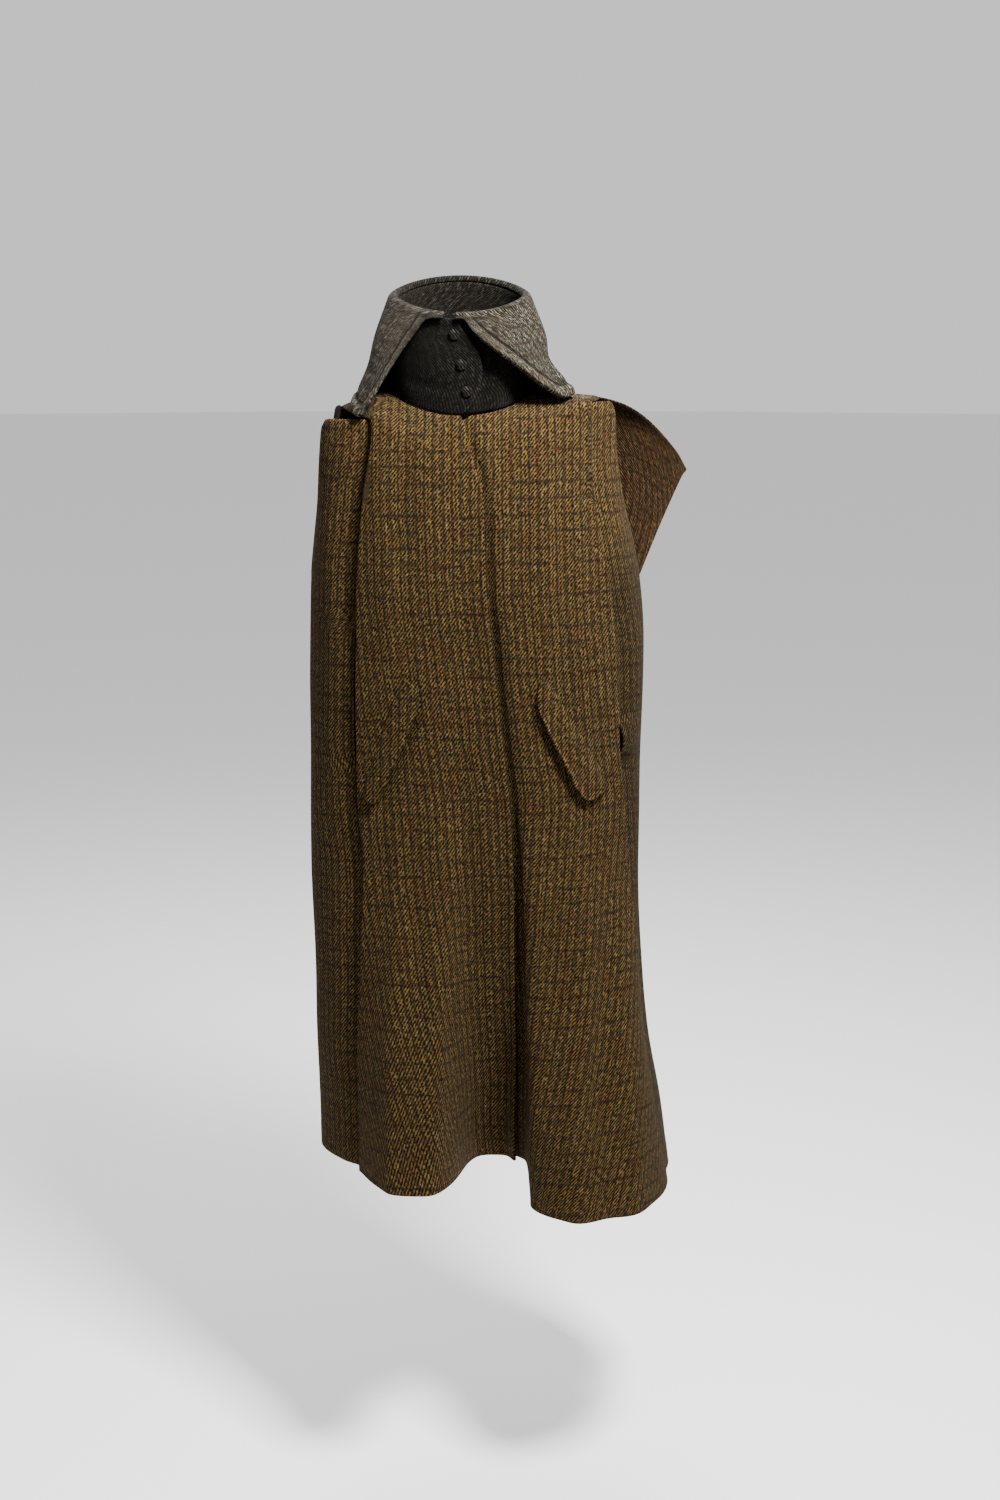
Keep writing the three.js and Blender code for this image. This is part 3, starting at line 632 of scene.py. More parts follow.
def side_front(name, side, material, offset):
    """One side front, from the seam with its arm slit to the wing's free edge or the side seam."""
    layer = LAYERS[side]
    inwards = -TO_SIDE[side]

    def point_at(row, column):
        z = row_height(row, WING_TOP[side])
        start = seam_angle(z, side)
        open_share = 1 - ease(row / ARMHOLE_ROWS, 0.1, 1)
        depth = section(z)[2]
        speed = cloth_speed(start, z, layer)
        turn = math.radians(FRONT_WING_TURN[side]) * open_share
        seam_run = mix(-SEAM_UNDER, SEAM_GAP / 2, open_share)
        end = FRONT_SIDE_ANGLE[side] + inwards * (turn + seam_run / depth)
        slit_top, slit_bottom = SLIT_SHOWN[side]
        slit = ease(z, slit_bottom - 6, slit_bottom + 14) * (1 - ease(z, slit_top - 30, slit_top))
        clearance = mix(-SEAM_LAP, SLIT_GAP[side], slit)
        share = SIDE_SHARES[column]
        angle = mix(start - inwards * clearance / speed, end, share)
        away = abs(angle - start) * speed
        seam_depth = max(0.7 * seam_tuck(z, "side"), SEAM_STEP[side])
        seam_depth = mix(seam_depth, SLIT_DEPTH[side], slit)
        tuck = seam_depth * math.exp(-((away / TUCK_REACH) ** 2)) * (1 - share**4)
        to_edge = abs(end - angle) * depth if row < ARMHOLE_ROWS else math.inf
        to_top = WING_TOP[side] - z
        thick = CLOTH + max(band(to_edge), band(to_top), band(z - HEM_HEIGHT, HEM_WIDTH, HEM_EXTRA))
        if row >= ARMHOLE_ROWS:
            side_seam = abs(end - angle) * depth
            tuck += SEAM_UNDER_DEPTH * math.exp(-((side_seam / SEAM_UNDER_REACH) ** 2))
        point = sunk_body(angle, z, layer, tuck, FRONT_CREASES)
        # The wing's upper corner is turned, so it is slightly round.
        near_top = math.exp(-((to_top / WING_CORNER_REACH) ** 2))
        point.z -= WING_CORNER_DROP * ease(share, 0.8, 1) ** 2 * near_top
        return point, thick

    zero = (len(YOKE_SHARES), 0)
    return cloth_wall(name, BODY_ROWS, len(SIDE_SHARES), point_at, material, zero, offset, TO_SIDE[side])


BACK_MIDDLE_COLUMNS = 34
BACK_SIDE_COLUMNS = 12
WING_OUT = [0, 0.08, 0.17, 0.27, 0.37, 0.47, 0.57, 0.66, 0.74, 0.81, 0.86, 0.895]
WING_OUT += [0.915, 0.94, 0.97, 0.99, 1]
BACK_BASE = 47
BACK_SIDE_WIDTH = 70
BACK_SEAM_TUCK = 2.0
BACK_SEAM_REACH = 5
WING_ROW_STEP = 7.0


def back_panel(name, material, offset):
    """The back is one piece, with a wing past each shoulder seam."""
    half = BACK_MIDDLE_COLUMNS // 2
    wing_columns = len(WING_OUT) - 1
    reach = half + BACK_SIDE_COLUMNS + wing_columns
    columns = 2 * reach + 1
    rows = TOP_ROWS + BODY_ROWS
    base_angle = {"left": math.radians(180 - BACK_BASE), "right": math.radians(BACK_BASE)}
    seam_step = half + BACK_SIDE_COLUMNS

    def seam_point(side):
        return body_point(BACK_SIDE_ANGLE[side], ARMHOLE_BOTTOM, "over") + Vector((0, SEAM_GAP / 2, 0))

    def edge_height(side, share):
        return mix(YOKE_BACK_DROP, WING_TOP[side], ease(share, 0, 1))

    def inner_line(side, share):
        """The line that runs down from the shoulder seam's end to the bottom of the armhole."""
        start = Vector(SHOULDER_END[side]) + Vector((0, SHOULDER_GAP / 2, 0))
        point = start.lerp(seam_point(side), share)
        point.y += BACK_WING[side]["swing"] * math.sin(math.pi * share**0.7) ** 0.8 if 0 < share < 1 else 0
        return point

    def wing_point(side, share, out):
        wing = BACK_WING[side]
        outer = Vector(wing["corner"]).lerp(seam_point(side), share)
        outer.y += 8 * math.sin(math.pi * share)
        point = inner_line(side, share).lerp(outer, out)
        bow = math.sin(math.pi * out) * (1 - share)
        point.z += wing["rise"] * bow
        point.y += 6 * bow + 3.0 * math.sin(out * 5 + share * 6) * math.sin(math.pi * share)
        point.z -= 7 * ease(out, 0.86, 1) ** 2 * math.exp(-((share / 0.06) ** 2))
        return point

    def body_at(row, column):
        signed = column - reach
        side = "left" if signed < 0 else "right"
        step = abs(signed)
        body_row = max(0, row - TOP_ROWS)
        side_share = min(1.0, max(0.0, (step - half) / BACK_SIDE_COLUMNS))
        middle_share = min(1.0, step / half)
        z = row_height(body_row, edge_height(side, middle_share * 0.45 + side_share * 0.55))
        share = min(1.0, body_row / ARMHOLE_ROWS)
        if step <= half:
            angle = mix(math.pi / 2, base_angle[side], middle_share)
            return sunk_body(angle, z, "over", 0, BACK_CREASES)
        if body_row >= ARMHOLE_ROWS:
            angle = mix(base_angle[side], BACK_SIDE_ANGLE[side], side_share)
            to_seam = (1 - side_share) * BACK_SIDE_WIDTH
            tuck = BACK_SEAM_TUCK * math.exp(-((to_seam / BACK_SEAM_REACH) ** 2))
            point = sunk_body(angle, z, "over", tuck, BACK_CREASES)
            if side_share == 1:
                point.y += SEAM_GAP / 2
            return point
        out = WING_OUT[max(0, step - seam_step)]
        if out > 0:
            return wing_point(side, share, out)
        base_height = row_height(body_row, edge_height(side, 0.45))
        base = sunk_body(base_angle[side], base_height, "over", 0, BACK_CREASES)
        direct = base.lerp(inner_line(side, share), side_share)
        bulge = 14 * math.sin(math.pi * side_share) * abs(2 * share - 1)
        direct.x += bulge * 0.8 * math.copysign(1, signed)
        direct.y += bulge * 0.6
        return direct

    def point_at(row, column):
        signed = column - reach
        side = "left" if signed < 0 else "right"
        step = abs(signed)
        body_row = max(0, row - TOP_ROWS)
        point = body_at(row, column)
        thick = CLOTH
        out = WING_OUT[min(wing_columns, max(0, step - seam_step))]
        if out > 0 and body_row < ARMHOLE_ROWS:
            share = body_row / ARMHOLE_ROWS
            wing_width = (inner_line(side, share) - wing_point(side, share, 1)).length
            thick += max(band((1 - out) * wing_width), band(body_row * WING_ROW_STEP, 8, 1.4))
        if row >= TOP_ROWS:
            return point, thick + band(point.z - HEM_HEIGHT, HEM_WIDTH, HEM_EXTRA) * (step <= seam_step)
        neck_share = min(1.0, step / seam_step)
        neck = neck_point(NECK, mix(math.pi / 2, BACK_SIDE_ANGLE[side], neck_share))
        if neck_share == 1:
            neck.y += SHOULDER_GAP / 2
        return cap_point(neck, point, CAP_ROWS[row]), thick

    def filled(row, column):
        outer = column < wing_columns or column >= columns - 1 - wing_columns
        return not outer or TOP_ROWS <= row < TOP_ROWS + ARMHOLE_ROWS

    return cloth_wall(name, rows, columns, point_at, material, (CLOTH_ZERO_ROW, reach), offset, -1, filled)


# The stand's numbers from START to BULGE are degrees round the neck.
STAND_SEAT = 0.3
FALL_SEAT = 1.7
STAND_START = 8
STAND_UNDER = 20
STAND_BULGE = 17
STAND_COLUMNS = 130
STAND_ROW_COUNT = 24
LAP_SINK = 3.0
LAP_EDGE = 1.6
LAP_EDGE_SHARE = 0.012
STAND_BELLY = 2.5
NECK_CREASE = {"depth": 2.6, "height": 0.27, "reach": 0.05}
STAND_RIPPLE = 0.8


def stand_point(degrees, height, sink):
    low = neck_point(NECK, math.radians(degrees))
    low.z += CLOTH / 2 + STAND_SEAT
    point = low.lerp(neck_point(STAND_TOP, math.radians(degrees)), height)
    reach = math.hypot(point.x, point.y)
    scale = (reach + STAND_BELLY * math.sin(math.pi * height) - sink) / reach
    return Vector((point.x * scale, point.y * scale, point.z))


def collar_stand(name, material):
    """A tall band that starts on top at the front, runs round the neck and ends under its start."""
    lap_depth = COLLAR_CLOTH + LAYER_GAP

    def point_at(row, column):
        height = row / (STAND_ROW_COUNT - 1)
        share = column / (STAND_COLUMNS - 1)
        # The columns stand closer together at both ends.
        share = share - 0.0045 * math.sin(2 * math.pi * share)
        bulge = STAND_BULGE * math.sin(math.pi * min(1.0, height * 1.12)) ** 0.8
        start = -90 + STAND_START * 0.3 + bulge
        degrees = mix(start, -450 - STAND_UNDER, share)
        sink = (lap_depth + LAP_SINK) * ease(-degrees - 360, 56, 70)
        point = stand_point(degrees, height, sink)
        thick = COLLAR_CLOTH + LAP_EDGE * math.exp(-((share / LAP_EDGE_SHARE) ** 2))
        # A crease runs across the front of the band where the neck bends.
        front = ease(-degrees - 90, 80, 10) if degrees > -200 else 0.0
        off_crease = (height - NECK_CREASE["height"]) / NECK_CREASE["reach"]
        dent = NECK_CREASE["depth"] * front * math.exp(-(off_crease**2))
        ripple = STAND_RIPPLE * math.sin(math.radians(degrees) * 7 + height * 5)
        flat = Vector((point.x, point.y, 0)).normalized()
        return point - flat * dent + flat * ripple * (1 - ease(abs(height - 0.5), 0.3, 0.5)), thick

    offset = (0.011, 0.0)
    zero = (STAND_ROW_COUNT // 2, 0)
    return cloth_wall(name, STAND_ROW_COUNT, STAND_COLUMNS, point_at, material, zero, offset, -1)


# The roll over the top of the stand, from inside to outside: how far out and how far up.
FALL_ROLL = [
    (0, -1.2), (0.1, 0.6), (0.7, 2.4), (1.8, 3.8), (3.3, 4.7),
    (4.8, 4.9), (6.2, 4.4), (7.5, 3.2), (8.4, 1.6),
]
# The roll's first rows, rising from the stand, take the inner face's darker colour as painted shade inside the
# collar.
ROLL_SHADED_ROWS = 6
FALL_ROLL_OUT = 9
SIDE_EDGE_DROP = 10.0
FALL_TAB = {"left": 17, "right": 2}
FALL_FLARE = {"left": 5.0, "right": 14.0}
ROLLED_EDGE = {"height": 6.5, "middle": 7, "reach": 8.5}
EDGE_GROOVE = {"depth": 2.4, "middle": 18, "reach": 3.0}
# The fall's lower edge: degrees back from the front, counted below 0, height, and reach from the neck's middle.
FALL_EDGE = {
    "left": [
        (-12, 110, 92), (-20, 107, 93), (-28, 101, 95), (-33, 90, 100), (-40, 68, 111), (-44, 48, 122),
        (-48, 22, 137), (-51, -3, 150), (-55, -20, 158), (-62, -14, 157), (-70, 2, 147), (-90, 8, 130),
        (-130, 6, 124), (-180, 2, 118),
    ],
    "right": [
        (2.5, 110, 91), (-4, 104, 92), (-12, 86, 101), (-25, 64, 113), (-38, 43, 125), (-49, 22, 137),
        (-57, 8, 148), (-63, 3, 154), (-69, 13, 156), (-76, 14, 144), (-90, 12, 128),
        (-130, 6, 124), (-180, 2, 118),
    ],
}
FALL_TURNS = {
    "left": steps(12, 66, 44) + steps(67.5, 90, 12) + steps(93, 178, 26),
    "right": steps(-2.5, 52, 40) + steps(53, 78, 24) + steps(79.5, 93, 8) + steps(96, 176, 25),
}
FALL_DROPS = steps(0.03, 0.8, 20) + [0.83, 0.855, 0.88, 0.9, 0.92, 0.94, 0.96, 0.975, 0.988, 1.0]


def collar_fall(name, material):
    """Rolls over the top of the stand and hangs outside it, down to two points in front."""
    stops = [("left", turn, -90 - turn) for turn in FALL_TURNS["left"]]
    stops += [("right", turn, -90 + turn) for turn in reversed(FALL_TURNS["right"])]

    def point_at(row, column):
        side, turn, degrees = stops[column]
        start = stand_point(degrees, 1, 0)
        outward = Vector((start.x, start.y, 0)).normalized()
        start.z += FALL_SEAT
        thick = COLLAR_CLOTH
        if row < len(FALL_ROLL):
            out, up = FALL_ROLL[row]
            return start + outward * out + Vector((0, 0, up)), thick
        _, height, reach = read_row(FALL_EDGE[side], -turn)
        height -= SIDE_EDGE_DROP * ease(turn, 62, 74) * (1 - ease(turn, 120, 150))
        hanging = start + outward * FALL_ROLL_OUT
        end = outward * max(reach, math.hypot(hanging.x, hanging.y) + 1)
        end.z = min(height, hanging.z - mix(2.0, 6.0, ease(turn, FALL_TAB[side], FALL_TAB[side] + 12)))
        drop = FALL_DROPS[row - len(FALL_ROLL)]
        point = hanging.lerp(end, drop)
        length = (end - hanging).length
        fullness = ease(hanging.z - end.z, 10, 80)
        swell = 5 * math.sin(math.pi * drop) + 1.2 * math.sin(turn * 0.11) * drop
        flare = FALL_FLARE[side] * ease(turn, 42, 68) * (1 - ease(turn, 100, 130))
        swell -= flare * math.exp(-(((drop - 0.62) / 0.2) ** 2))
        point += outward * (swell * fullness)
        from_edge = (1 - drop) * length
        turned = ease(length, 8, 30)
        off_roll = (from_edge - ROLLED_EDGE["middle"]) / ROLLED_EDGE["reach"]
        off_groove = (from_edge - EDGE_GROOVE["middle"]) / EDGE_GROOVE["reach"]
        rolled = ROLLED_EDGE["height"] * math.sqrt(max(0.0, 1 - off_roll**2))
        groove = EDGE_GROOVE["depth"] * math.exp(-(off_groove**2))
        return point, thick + turned * (rolled - groove)

    rows = len(FALL_ROLL) + len(FALL_DROPS)
    middle = len(FALL_TURNS["left"])
    zero, offset = (len(FALL_ROLL), middle), (0.004, 0.008)
    return cloth_wall(
        name, rows, len(stops), point_at, material, zero, offset, -1, shaded_rows=ROLL_SHADED_ROWS
    )


FLAP_CLOTH = 5.0
FLAP_OPEN = {"left": 7.0, "right": 5.5}
FLAP_WIDTH = 40
FLAP_HALF_LENGTH = 85
FLAP_BEAD = {"height": 2.0, "middle": 2.5, "reach": 2.2}
FLAP_LENGTH_SHARES = [0, 0.012, 0.03] + steps(0.06, 0.94, 30) + [0.97, 0.988, 1]
FLAP_WIDTH_SHARES = [0, 0.04, 0.1] + steps(0.18, 0.8, 8) + [0.87, 0.92, 0.96, 1]


def pocket_flap(name, side, material, offset):
    """A slanted flap that lies on its centre front and stands away a little along its free edge."""
    top_outer, top_inner, bottom_inner, bottom_outer = POCKET_FLAPS[side]
    facing = -TO_SIDE[side]
    lift = CLOTH / 2 + FLAP_CLOTH / 2 + LAYER_GAP

    def point_at(row, column):
        along = 2 * FLAP_LENGTH_SHARES[row] - 1
        across = 2 * FLAP_WIDTH_SHARES[column] - 1
        u = (1 + along * (1 - 0.05 * across**4)) / 2
        v = (1 + across * (1 - 0.36 * along**8)) / 2

        def spot(i):
            return mix(mix(top_outer[i], top_inner[i], v), mix(bottom_outer[i], bottom_inner[i], v), u)

        x, z = spot(0), spot(1)
        seated = mix(1.2, lift, ease(v, 0, 0.3))
        stand = seated + FLAP_OPEN[side] * v * v * (1 - 0.5 * along**4) + 1.5 * math.sin(math.pi * v)
        point = sunk_body(front_angle(x, z), z, LAYERS[side], -stand, FRONT_CREASES)
        rim = min(1 - abs(along), 0.4 * (1 - abs(across)))
        grain_u = facing * x * MILLIMETRE + offset[0]
        grain_v = -z * MILLIMETRE + offset[1]
        from_edge = min((1 - v) * FLAP_WIDTH, (1 - abs(along)) * FLAP_HALF_LENGTH)
        off_bead = (from_edge - FLAP_BEAD["middle"]) / FLAP_BEAD["reach"]
        bead = FLAP_BEAD["height"] * math.exp(-(off_bead**2)) * ease(v, 0.2, 0.6)
        return point, grain_u, grain_v, FLAP_CLOTH * (0.8 + 0.2 * ease(rim, 0, 0.06)) + bead

    rows, columns = len(FLAP_LENGTH_SHARES), len(FLAP_WIDTH_SHARES)
    return Wall(name, rows, columns, point_at, None, facing).build(material)


# Each button's node, x and z.
BUTTONS = [("button_top", -8, 84), ("button_middle", 1, 46), ("button_bottom", 8, 12)]
# A button from its middle over the dome to its foot: radius and rise.
BUTTON_PROFILE = [
    (0, 5.0), (2.4, 4.9), (4.6, 4.3), (6.2, 3.2),
    (7.0, 1.9), (6.9, 0.9), (6.0, 0.35), (0, 0.3),
]
BUTTON_SEGMENTS = 40
BUTTON_GAP = 0.2
WELD_REACH = 0.00001


def covered_button(name, x, z, material):
    """A small domed button covered in the collar's cloth."""
    places_on_stand = [(d / 2, h / 100) for d in range(-220, -140) for h in range(0, 100)]

    def distance(spot):
        point = stand_point(spot[0], spot[1], 0)
        return math.hypot(point.x - x, point.z - z)

    degrees, height = min(places_on_stand, key=distance)
    centre = stand_point(degrees, height, 0)
    across = (stand_point(degrees + 1, height, 0) - stand_point(degrees - 1, height, 0)).normalized()
    upward = (stand_point(degrees, height + 0.02, 0) - stand_point(degrees, height - 0.02, 0)).normalized()
    outward = across.cross(upward).normalized()
    foot = centre + outward * (COLLAR_CLOTH / 2 + BUTTON_GAP)
    places, cloth, polygons = [], [], []
    for radius, rise in BUTTON_PROFILE:
        for k in range(BUTTON_SEGMENTS):
            turn = 2 * math.pi * k / BUTTON_SEGMENTS
            side_u, side_v = radius * math.cos(turn), radius * math.sin(turn)
            point = foot + across * side_u + upward * side_v + outward * rise
            places.append([n * MILLIMETRE for n in point])
            cloth.append((side_u * MILLIMETRE + 0.02, side_v * MILLIMETRE + 0.03, 1.0))
    for ring in range(len(BUTTON_PROFILE) - 1):
        for k in range(BUTTON_SEGMENTS):
            a = ring * BUTTON_SEGMENTS + k
            b = ring * BUTTON_SEGMENTS + (k + 1) % BUTTON_SEGMENTS
            polygons.append([a, a + BUTTON_SEGMENTS, b + BUTTON_SEGMENTS, b])
    piece = solid_piece(name, places, polygons, cloth, [COLLAR_CLOTH] * len(places), material, 0)
    weld = piece.modifiers.new("closed middle", "WELD")
    weld.merge_threshold = WELD_REACH
    return piece


class Term:
    """A value on its way through a material's nodes, with the usual arithmetic."""

    def __init__(self, shader, socket):
        self.shader = shader
        self.socket = socket

    def __add__(self, other):
        return self.shader.maths("ADD", self, other)

    def __sub__(self, other):
        return self.shader.maths("SUBTRACT", self, other)

    def __rsub__(self, other):
        return self.shader.maths("SUBTRACT", other, self)

    def __mul__(self, other):
        return self.shader.maths("MULTIPLY", self, other)

    def __truediv__(self, other):
        return self.shader.maths("DIVIDE", self, other)

    __radd__ = __add__
    __rmul__ = __mul__


class Shader:
    """Builds one material; every node comes from the one method below."""

    def __init__(self, name):
        self.material = bpy.data.materials.new(name)
        self.material.use_nodes = True
        self.tree = self.material.node_tree
        self.tree.nodes.clear()

    def node(self, kind, inputs, output=0, **settings):
        node = self.tree.nodes.new("ShaderNode" + kind)
        for key, value in settings.items():
            setattr(node, key, value)
        for key, value in inputs.items():
            if isinstance(value, Term):
                self.tree.links.new(value.socket, node.inputs[key])
            else:
                node.inputs[key].default_value = value
        return Term(self, node.outputs[output]) if node.outputs else None

    def maths(self, operation, *values):
        return self.node("Math", dict(enumerate(values)), operation=operation)

    def smooth(self, value, low, high):
        """0 below the low value and 1 above the high one, smooth between."""
        inputs = {"Value": value, "From Min": low, "From Max": high}
        return self.node("MapRange", inputs, interpolation_type="SMOOTHSTEP")

    def blend(self, share, first, second):
        return self.node("Mix", {0: share, 6: first, 7: second}, output=2, data_type="RGBA")

    def colour_times(self, first, second):
        inputs = {0: 1.0, 6: first, 7: second}
        return self.node("Mix", inputs, output=2, data_type="RGBA", blend_type="MULTIPLY")

    def place(self, x, y, z=0.0):
        return self.node("CombineXYZ", {0: x, 1: y, 2: z})

    def noise(self, place, scale, detail=2.0, roughness=0.5):
        inputs = {"Vector": place, "Scale": scale, "Detail": detail, "Roughness": roughness}
        return self.node("TexNoise", inputs)

    def finish(self, colour, bump, roughness, sheen, sheen_tint):
        """Closes the material with a nearly matt surface."""
        inputs = {
            "Base Color": colour,
            "Roughness": roughness,
            "Normal": bump,
            "Specular IOR Level": 0.05,
            "Sheen Weight": sheen,
            "Sheen Roughness": 0.55,
            "Sheen Tint": sheen_tint,
        }
        surface = self.node("BsdfPrincipled", inputs)
        self.node("OutputMaterial", {"Surface": surface})
        return self.material


def rgb(red, green, blue):
    return (red, green, blue, 1.0)


# The weave's own sizes. Scales are repeats a metre, shifts are in metres, and ranges turn 0 into 1.
SWAY_SCALE = 14.0
SWAY_ACROSS = 0.004
SWAY_DOWN = 0.005
JITTER_SCALE = 300.0
RIB_SLANT = 0.75
RIB_RANGE = (0.24, 0.74)
FLOAT_STRENGTH = 1.5
COLUMN_STRENGTH = 0.22
FLECK_RANGE = 0.08
CHECK_WEIGHT = 0.9
INNER_RANGE = (0.2, -0.2)
PAINTED_SHADE_LOWER_RANGE = (0.02, 0.12)
GROOVE_SHADE = 0.75
EDGE_LIGHT = 1.7
FUZZ_SCALE = 700.0
RIB_HEIGHT = 0.0007
FUZZ_HEIGHT = 0.0006
YARN_HEIGHT = 0.0005


def tweed(name, look):
    """Twill tweed: slanting ribs of mixed yarns with dark gaps, and a soft check of dark broken lines."""
    shader = Shader(name)
    cloth = shader.node("Attribute", {}, output="Vector", attribute_name="cloth")
    across = shader.node("SeparateXYZ", {0: cloth}, output=0)
    down = shader.node("SeparateXYZ", {0: cloth}, output=1)
    side = shader.node("SeparateXYZ", {0: cloth}, output=2)
    sway_u = shader.noise(shader.place(across, down, 0.3), SWAY_SCALE) - 0.5
    sway_v = shader.noise(shader.place(across, down, 4.3), SWAY_SCALE) - 0.5
    jitter_u = shader.noise(shader.place(across, down, 8.3), JITTER_SCALE) - 0.5
    jitter_v = shader.noise(shader.place(across, down, 9.3), JITTER_SCALE) - 0.5
    u = across + sway_u * SWAY_ACROSS + jitter_u * look["jitter"]
    v = down + sway_v * SWAY_DOWN + jitter_v * look["jitter"]

    # Ribs rise steeply to the right and are broken into short floats with dark gaps between them.
    over_rib = (u + v * RIB_SLANT) / look["rib"]
    along_rib = (u * RIB_SLANT - v) / look["rib"]
    wave = shader.maths("SINE", over_rib * (2 * math.pi)) * 0.5 + 0.5
    floats = shader.noise(shader.place(over_rib * 1.3, along_rib * 0.75), 1.0, 1.0)
    columns = shader.maths("SINE", u * (2 * math.pi / look["column"])) * 0.5 + 0.5
    raised = wave * 0.62 + (floats - 0.5) * FLOAT_STRENGTH + columns * COLUMN_STRENGTH + 0.06
    rib = shader.smooth(raised, *RIB_RANGE)

    # Yarns of a few shades lie side by side in soft patches.
    first = shader.noise(shader.place(u * 190.0, v * 120.0, 3.0), 1.0, 2.0, 0.6)
    second = shader.noise(shader.place(u * 130.0, v * 95.0, 13.0), 1.0, 2.0, 0.6)
    third = shader.noise(shader.place(across, down, 2.0), 34.0, 2.0)
    yarn = shader.blend(shader.smooth(first, 0.36, 0.62), look["yarns"][0], look["yarns"][1])
    yarn = shader.blend(shader.smooth(second, 0.46, 0.66) * 0.75, yarn, look["yarns"][2])
    yarn = shader.blend(shader.smooth(third, 0.45, 0.7) * 0.55, yarn, look["yarns"][3])

    # Flecks of dyed wool.
    for offset, (share, colour) in enumerate(look["flecks"]):
        spots = shader.noise(shader.place(u * 240.0, v * 170.0, 27.0 + 5 * offset), 1.0, 1.0)
        yarn = shader.blend(shader.smooth(spots, share, share + FLECK_RANGE) * 0.8, yarn, colour)
    ground = shader.blend(rib, look["gap"], yarn)

    def lines(place, pitch, width):
        from_line = shader.maths("ABSOLUTE", shader.maths("FRACT", place / pitch) - 0.5) * pitch
        return 1 - shader.smooth(from_line, 0.0, width)

    broken = shader.noise(shader.place(u * 170.0, v * 170.0, 41.0), 1.0, 2.0)
    kept = shader.smooth(broken, 0.3, 0.6) * 0.5 + 0.5
    warp_lines = lines(u, look["check_across"], look["line"])
    weft_lines = lines(v, look["check_down"], look["line"])
    patches = shader.noise(shader.place(u * 22.0, v * 40.0, 51.0), 1.0, 1.0)
    stretches = shader.smooth(patches, 0.4, 0.6) * 0.8 + 0.2
    crossed = warp_lines * CHECK_WEIGHT + weft_lines * stretches * CHECK_WEIGHT
    both = shader.maths("MINIMUM", crossed, 1.0)
    check = both * kept * (1.2 - rib * 0.3) * look["check_strength"]
    colour = shader.blend(shader.maths("MINIMUM", check, 1.0), ground, look["check"])

    # The inner face is darker: partly the reverse of the weave, partly painted shade.
    inner = shader.smooth(side, *INNER_RANGE)
    colour = shader.blend(inner, colour, shader.colour_times(colour, look["inner"]))

    # Painted shade: the cloth of a side front that turns away from the light is painted darker below the
    # shoulder.
    turned = shader.smooth(down, *PAINTED_SHADE_LOWER_RANGE)
    colour = shader.blend(turned, colour, shader.colour_times(colour, rgb(*[look["lower"]] * 3)))

    # Painted highlight on rolled edges where they would catch the light, and painted shade in the sewn groove
    # beside them.
    swell = shader.node("Attribute", {}, output="Fac", attribute_name="swell")
    rim = shader.smooth(swell, look["thick"] + 0.4, look["thick"] + 2.4) * look["rim"]
    groove = shader.smooth(look["thick"] - swell, 0.3, 1.3) * GROOVE_SHADE
    colour = shader.blend(rim, colour, shader.colour_times(colour, rgb(*[EDGE_LIGHT] * 3)))
    colour = shader.blend(groove, colour, look["gap"])

    fuzz = shader.noise(shader.place(across, down, 5.0), FUZZ_SCALE, 2.0, 0.7)
    height = rib * RIB_HEIGHT + fuzz * FUZZ_HEIGHT + first * YARN_HEIGHT
    bump = shader.node("Bump", {"Strength": look["bump"], "Distance": 1.0, "Height": height})
    return shader.finish(colour, bump, 0.95, look["sheen"], look["sheen_tint"])


# The looks of the two tweeds. Lengths are in metres, but thick is the plain cloth in millimetres.
BODY_LOOK = {
    "thick": CLOTH,
    "rim": 0.35,
    "lower": 1.0,
    "jitter": 0.0020,
    "rib": 0.0044,
    "column": 0.0050,
    "yarns": [
        rgb(0.0419, 0.0230, 0.0053),
        rgb(0.0776, 0.0485, 0.0151),
        rgb(0.0351, 0.0288, 0.0100),
        rgb(0.0500, 0.0210, 0.0042),
    ],
    "gap": rgb(0.0018, 0.0009, 0.0004),
    "flecks": [
        (0.64, rgb(0.0905, 0.0254, 0.0034)),
        (0.66, rgb(0.1044, 0.0810, 0.0168)),
        (0.67, rgb(0.0209, 0.0324, 0.0067)),
        (0.66, rgb(0.0223, 0.0091, 0.0161)),
    ],
    "check_across": 0.0117,
    "check_down": 0.0210,
    "line": 0.0033,
    "check": rgb(0.0036, 0.0018, 0.0017),
    "check_strength": 0.9,
    "inner": rgb(0.49, 0.41, 0.45),
    "bump": 1.0,
    "sheen": 0.015,
    "sheen_tint": rgb(0.9, 0.75, 0.55),
}
COLLAR_LOOK = {
    "thick": COLLAR_CLOTH,
    "rim": 0.9,
    "lower": 1.0,
    "jitter": 0.0011,
    "rib": 0.0040,
    "column": 0.0050,
    "yarns": [
        rgb(0.0110, 0.0092, 0.0062),
        rgb(0.0860, 0.0790, 0.0590),
        rgb(0.0160, 0.0138, 0.0095),
        rgb(0.0360, 0.0260, 0.0140),
    ],
    "gap": rgb(0.0014, 0.0011, 0.0008),
    "flecks": [
        (0.66, rgb(0.0421, 0.0274, 0.0102)),
        (0.67, rgb(0.0534, 0.0481, 0.0317)),
        (0.69, rgb(0.0113, 0.0094, 0.0102)),
    ],
    "check_across": 0.0128,
    "check_down": 0.0215,
    "line": 0.0036,
    "check": rgb(0.0077, 0.0043, 0.0029),
    "check_strength": 1.0,
    "inner": rgb(0.35, 0.35, 0.38),
    "bump": 1.0,
    "sheen": 0.015,
    "sheen_tint": rgb(0.9, 0.85, 0.75),
}
# Painted shade under the fall: the share of the collar cloth's colour kept on the stand and on the buttons.
STAND_PAINTED_SHADE = 0.30
BUTTON_PAINTED_SHADE = 0.27


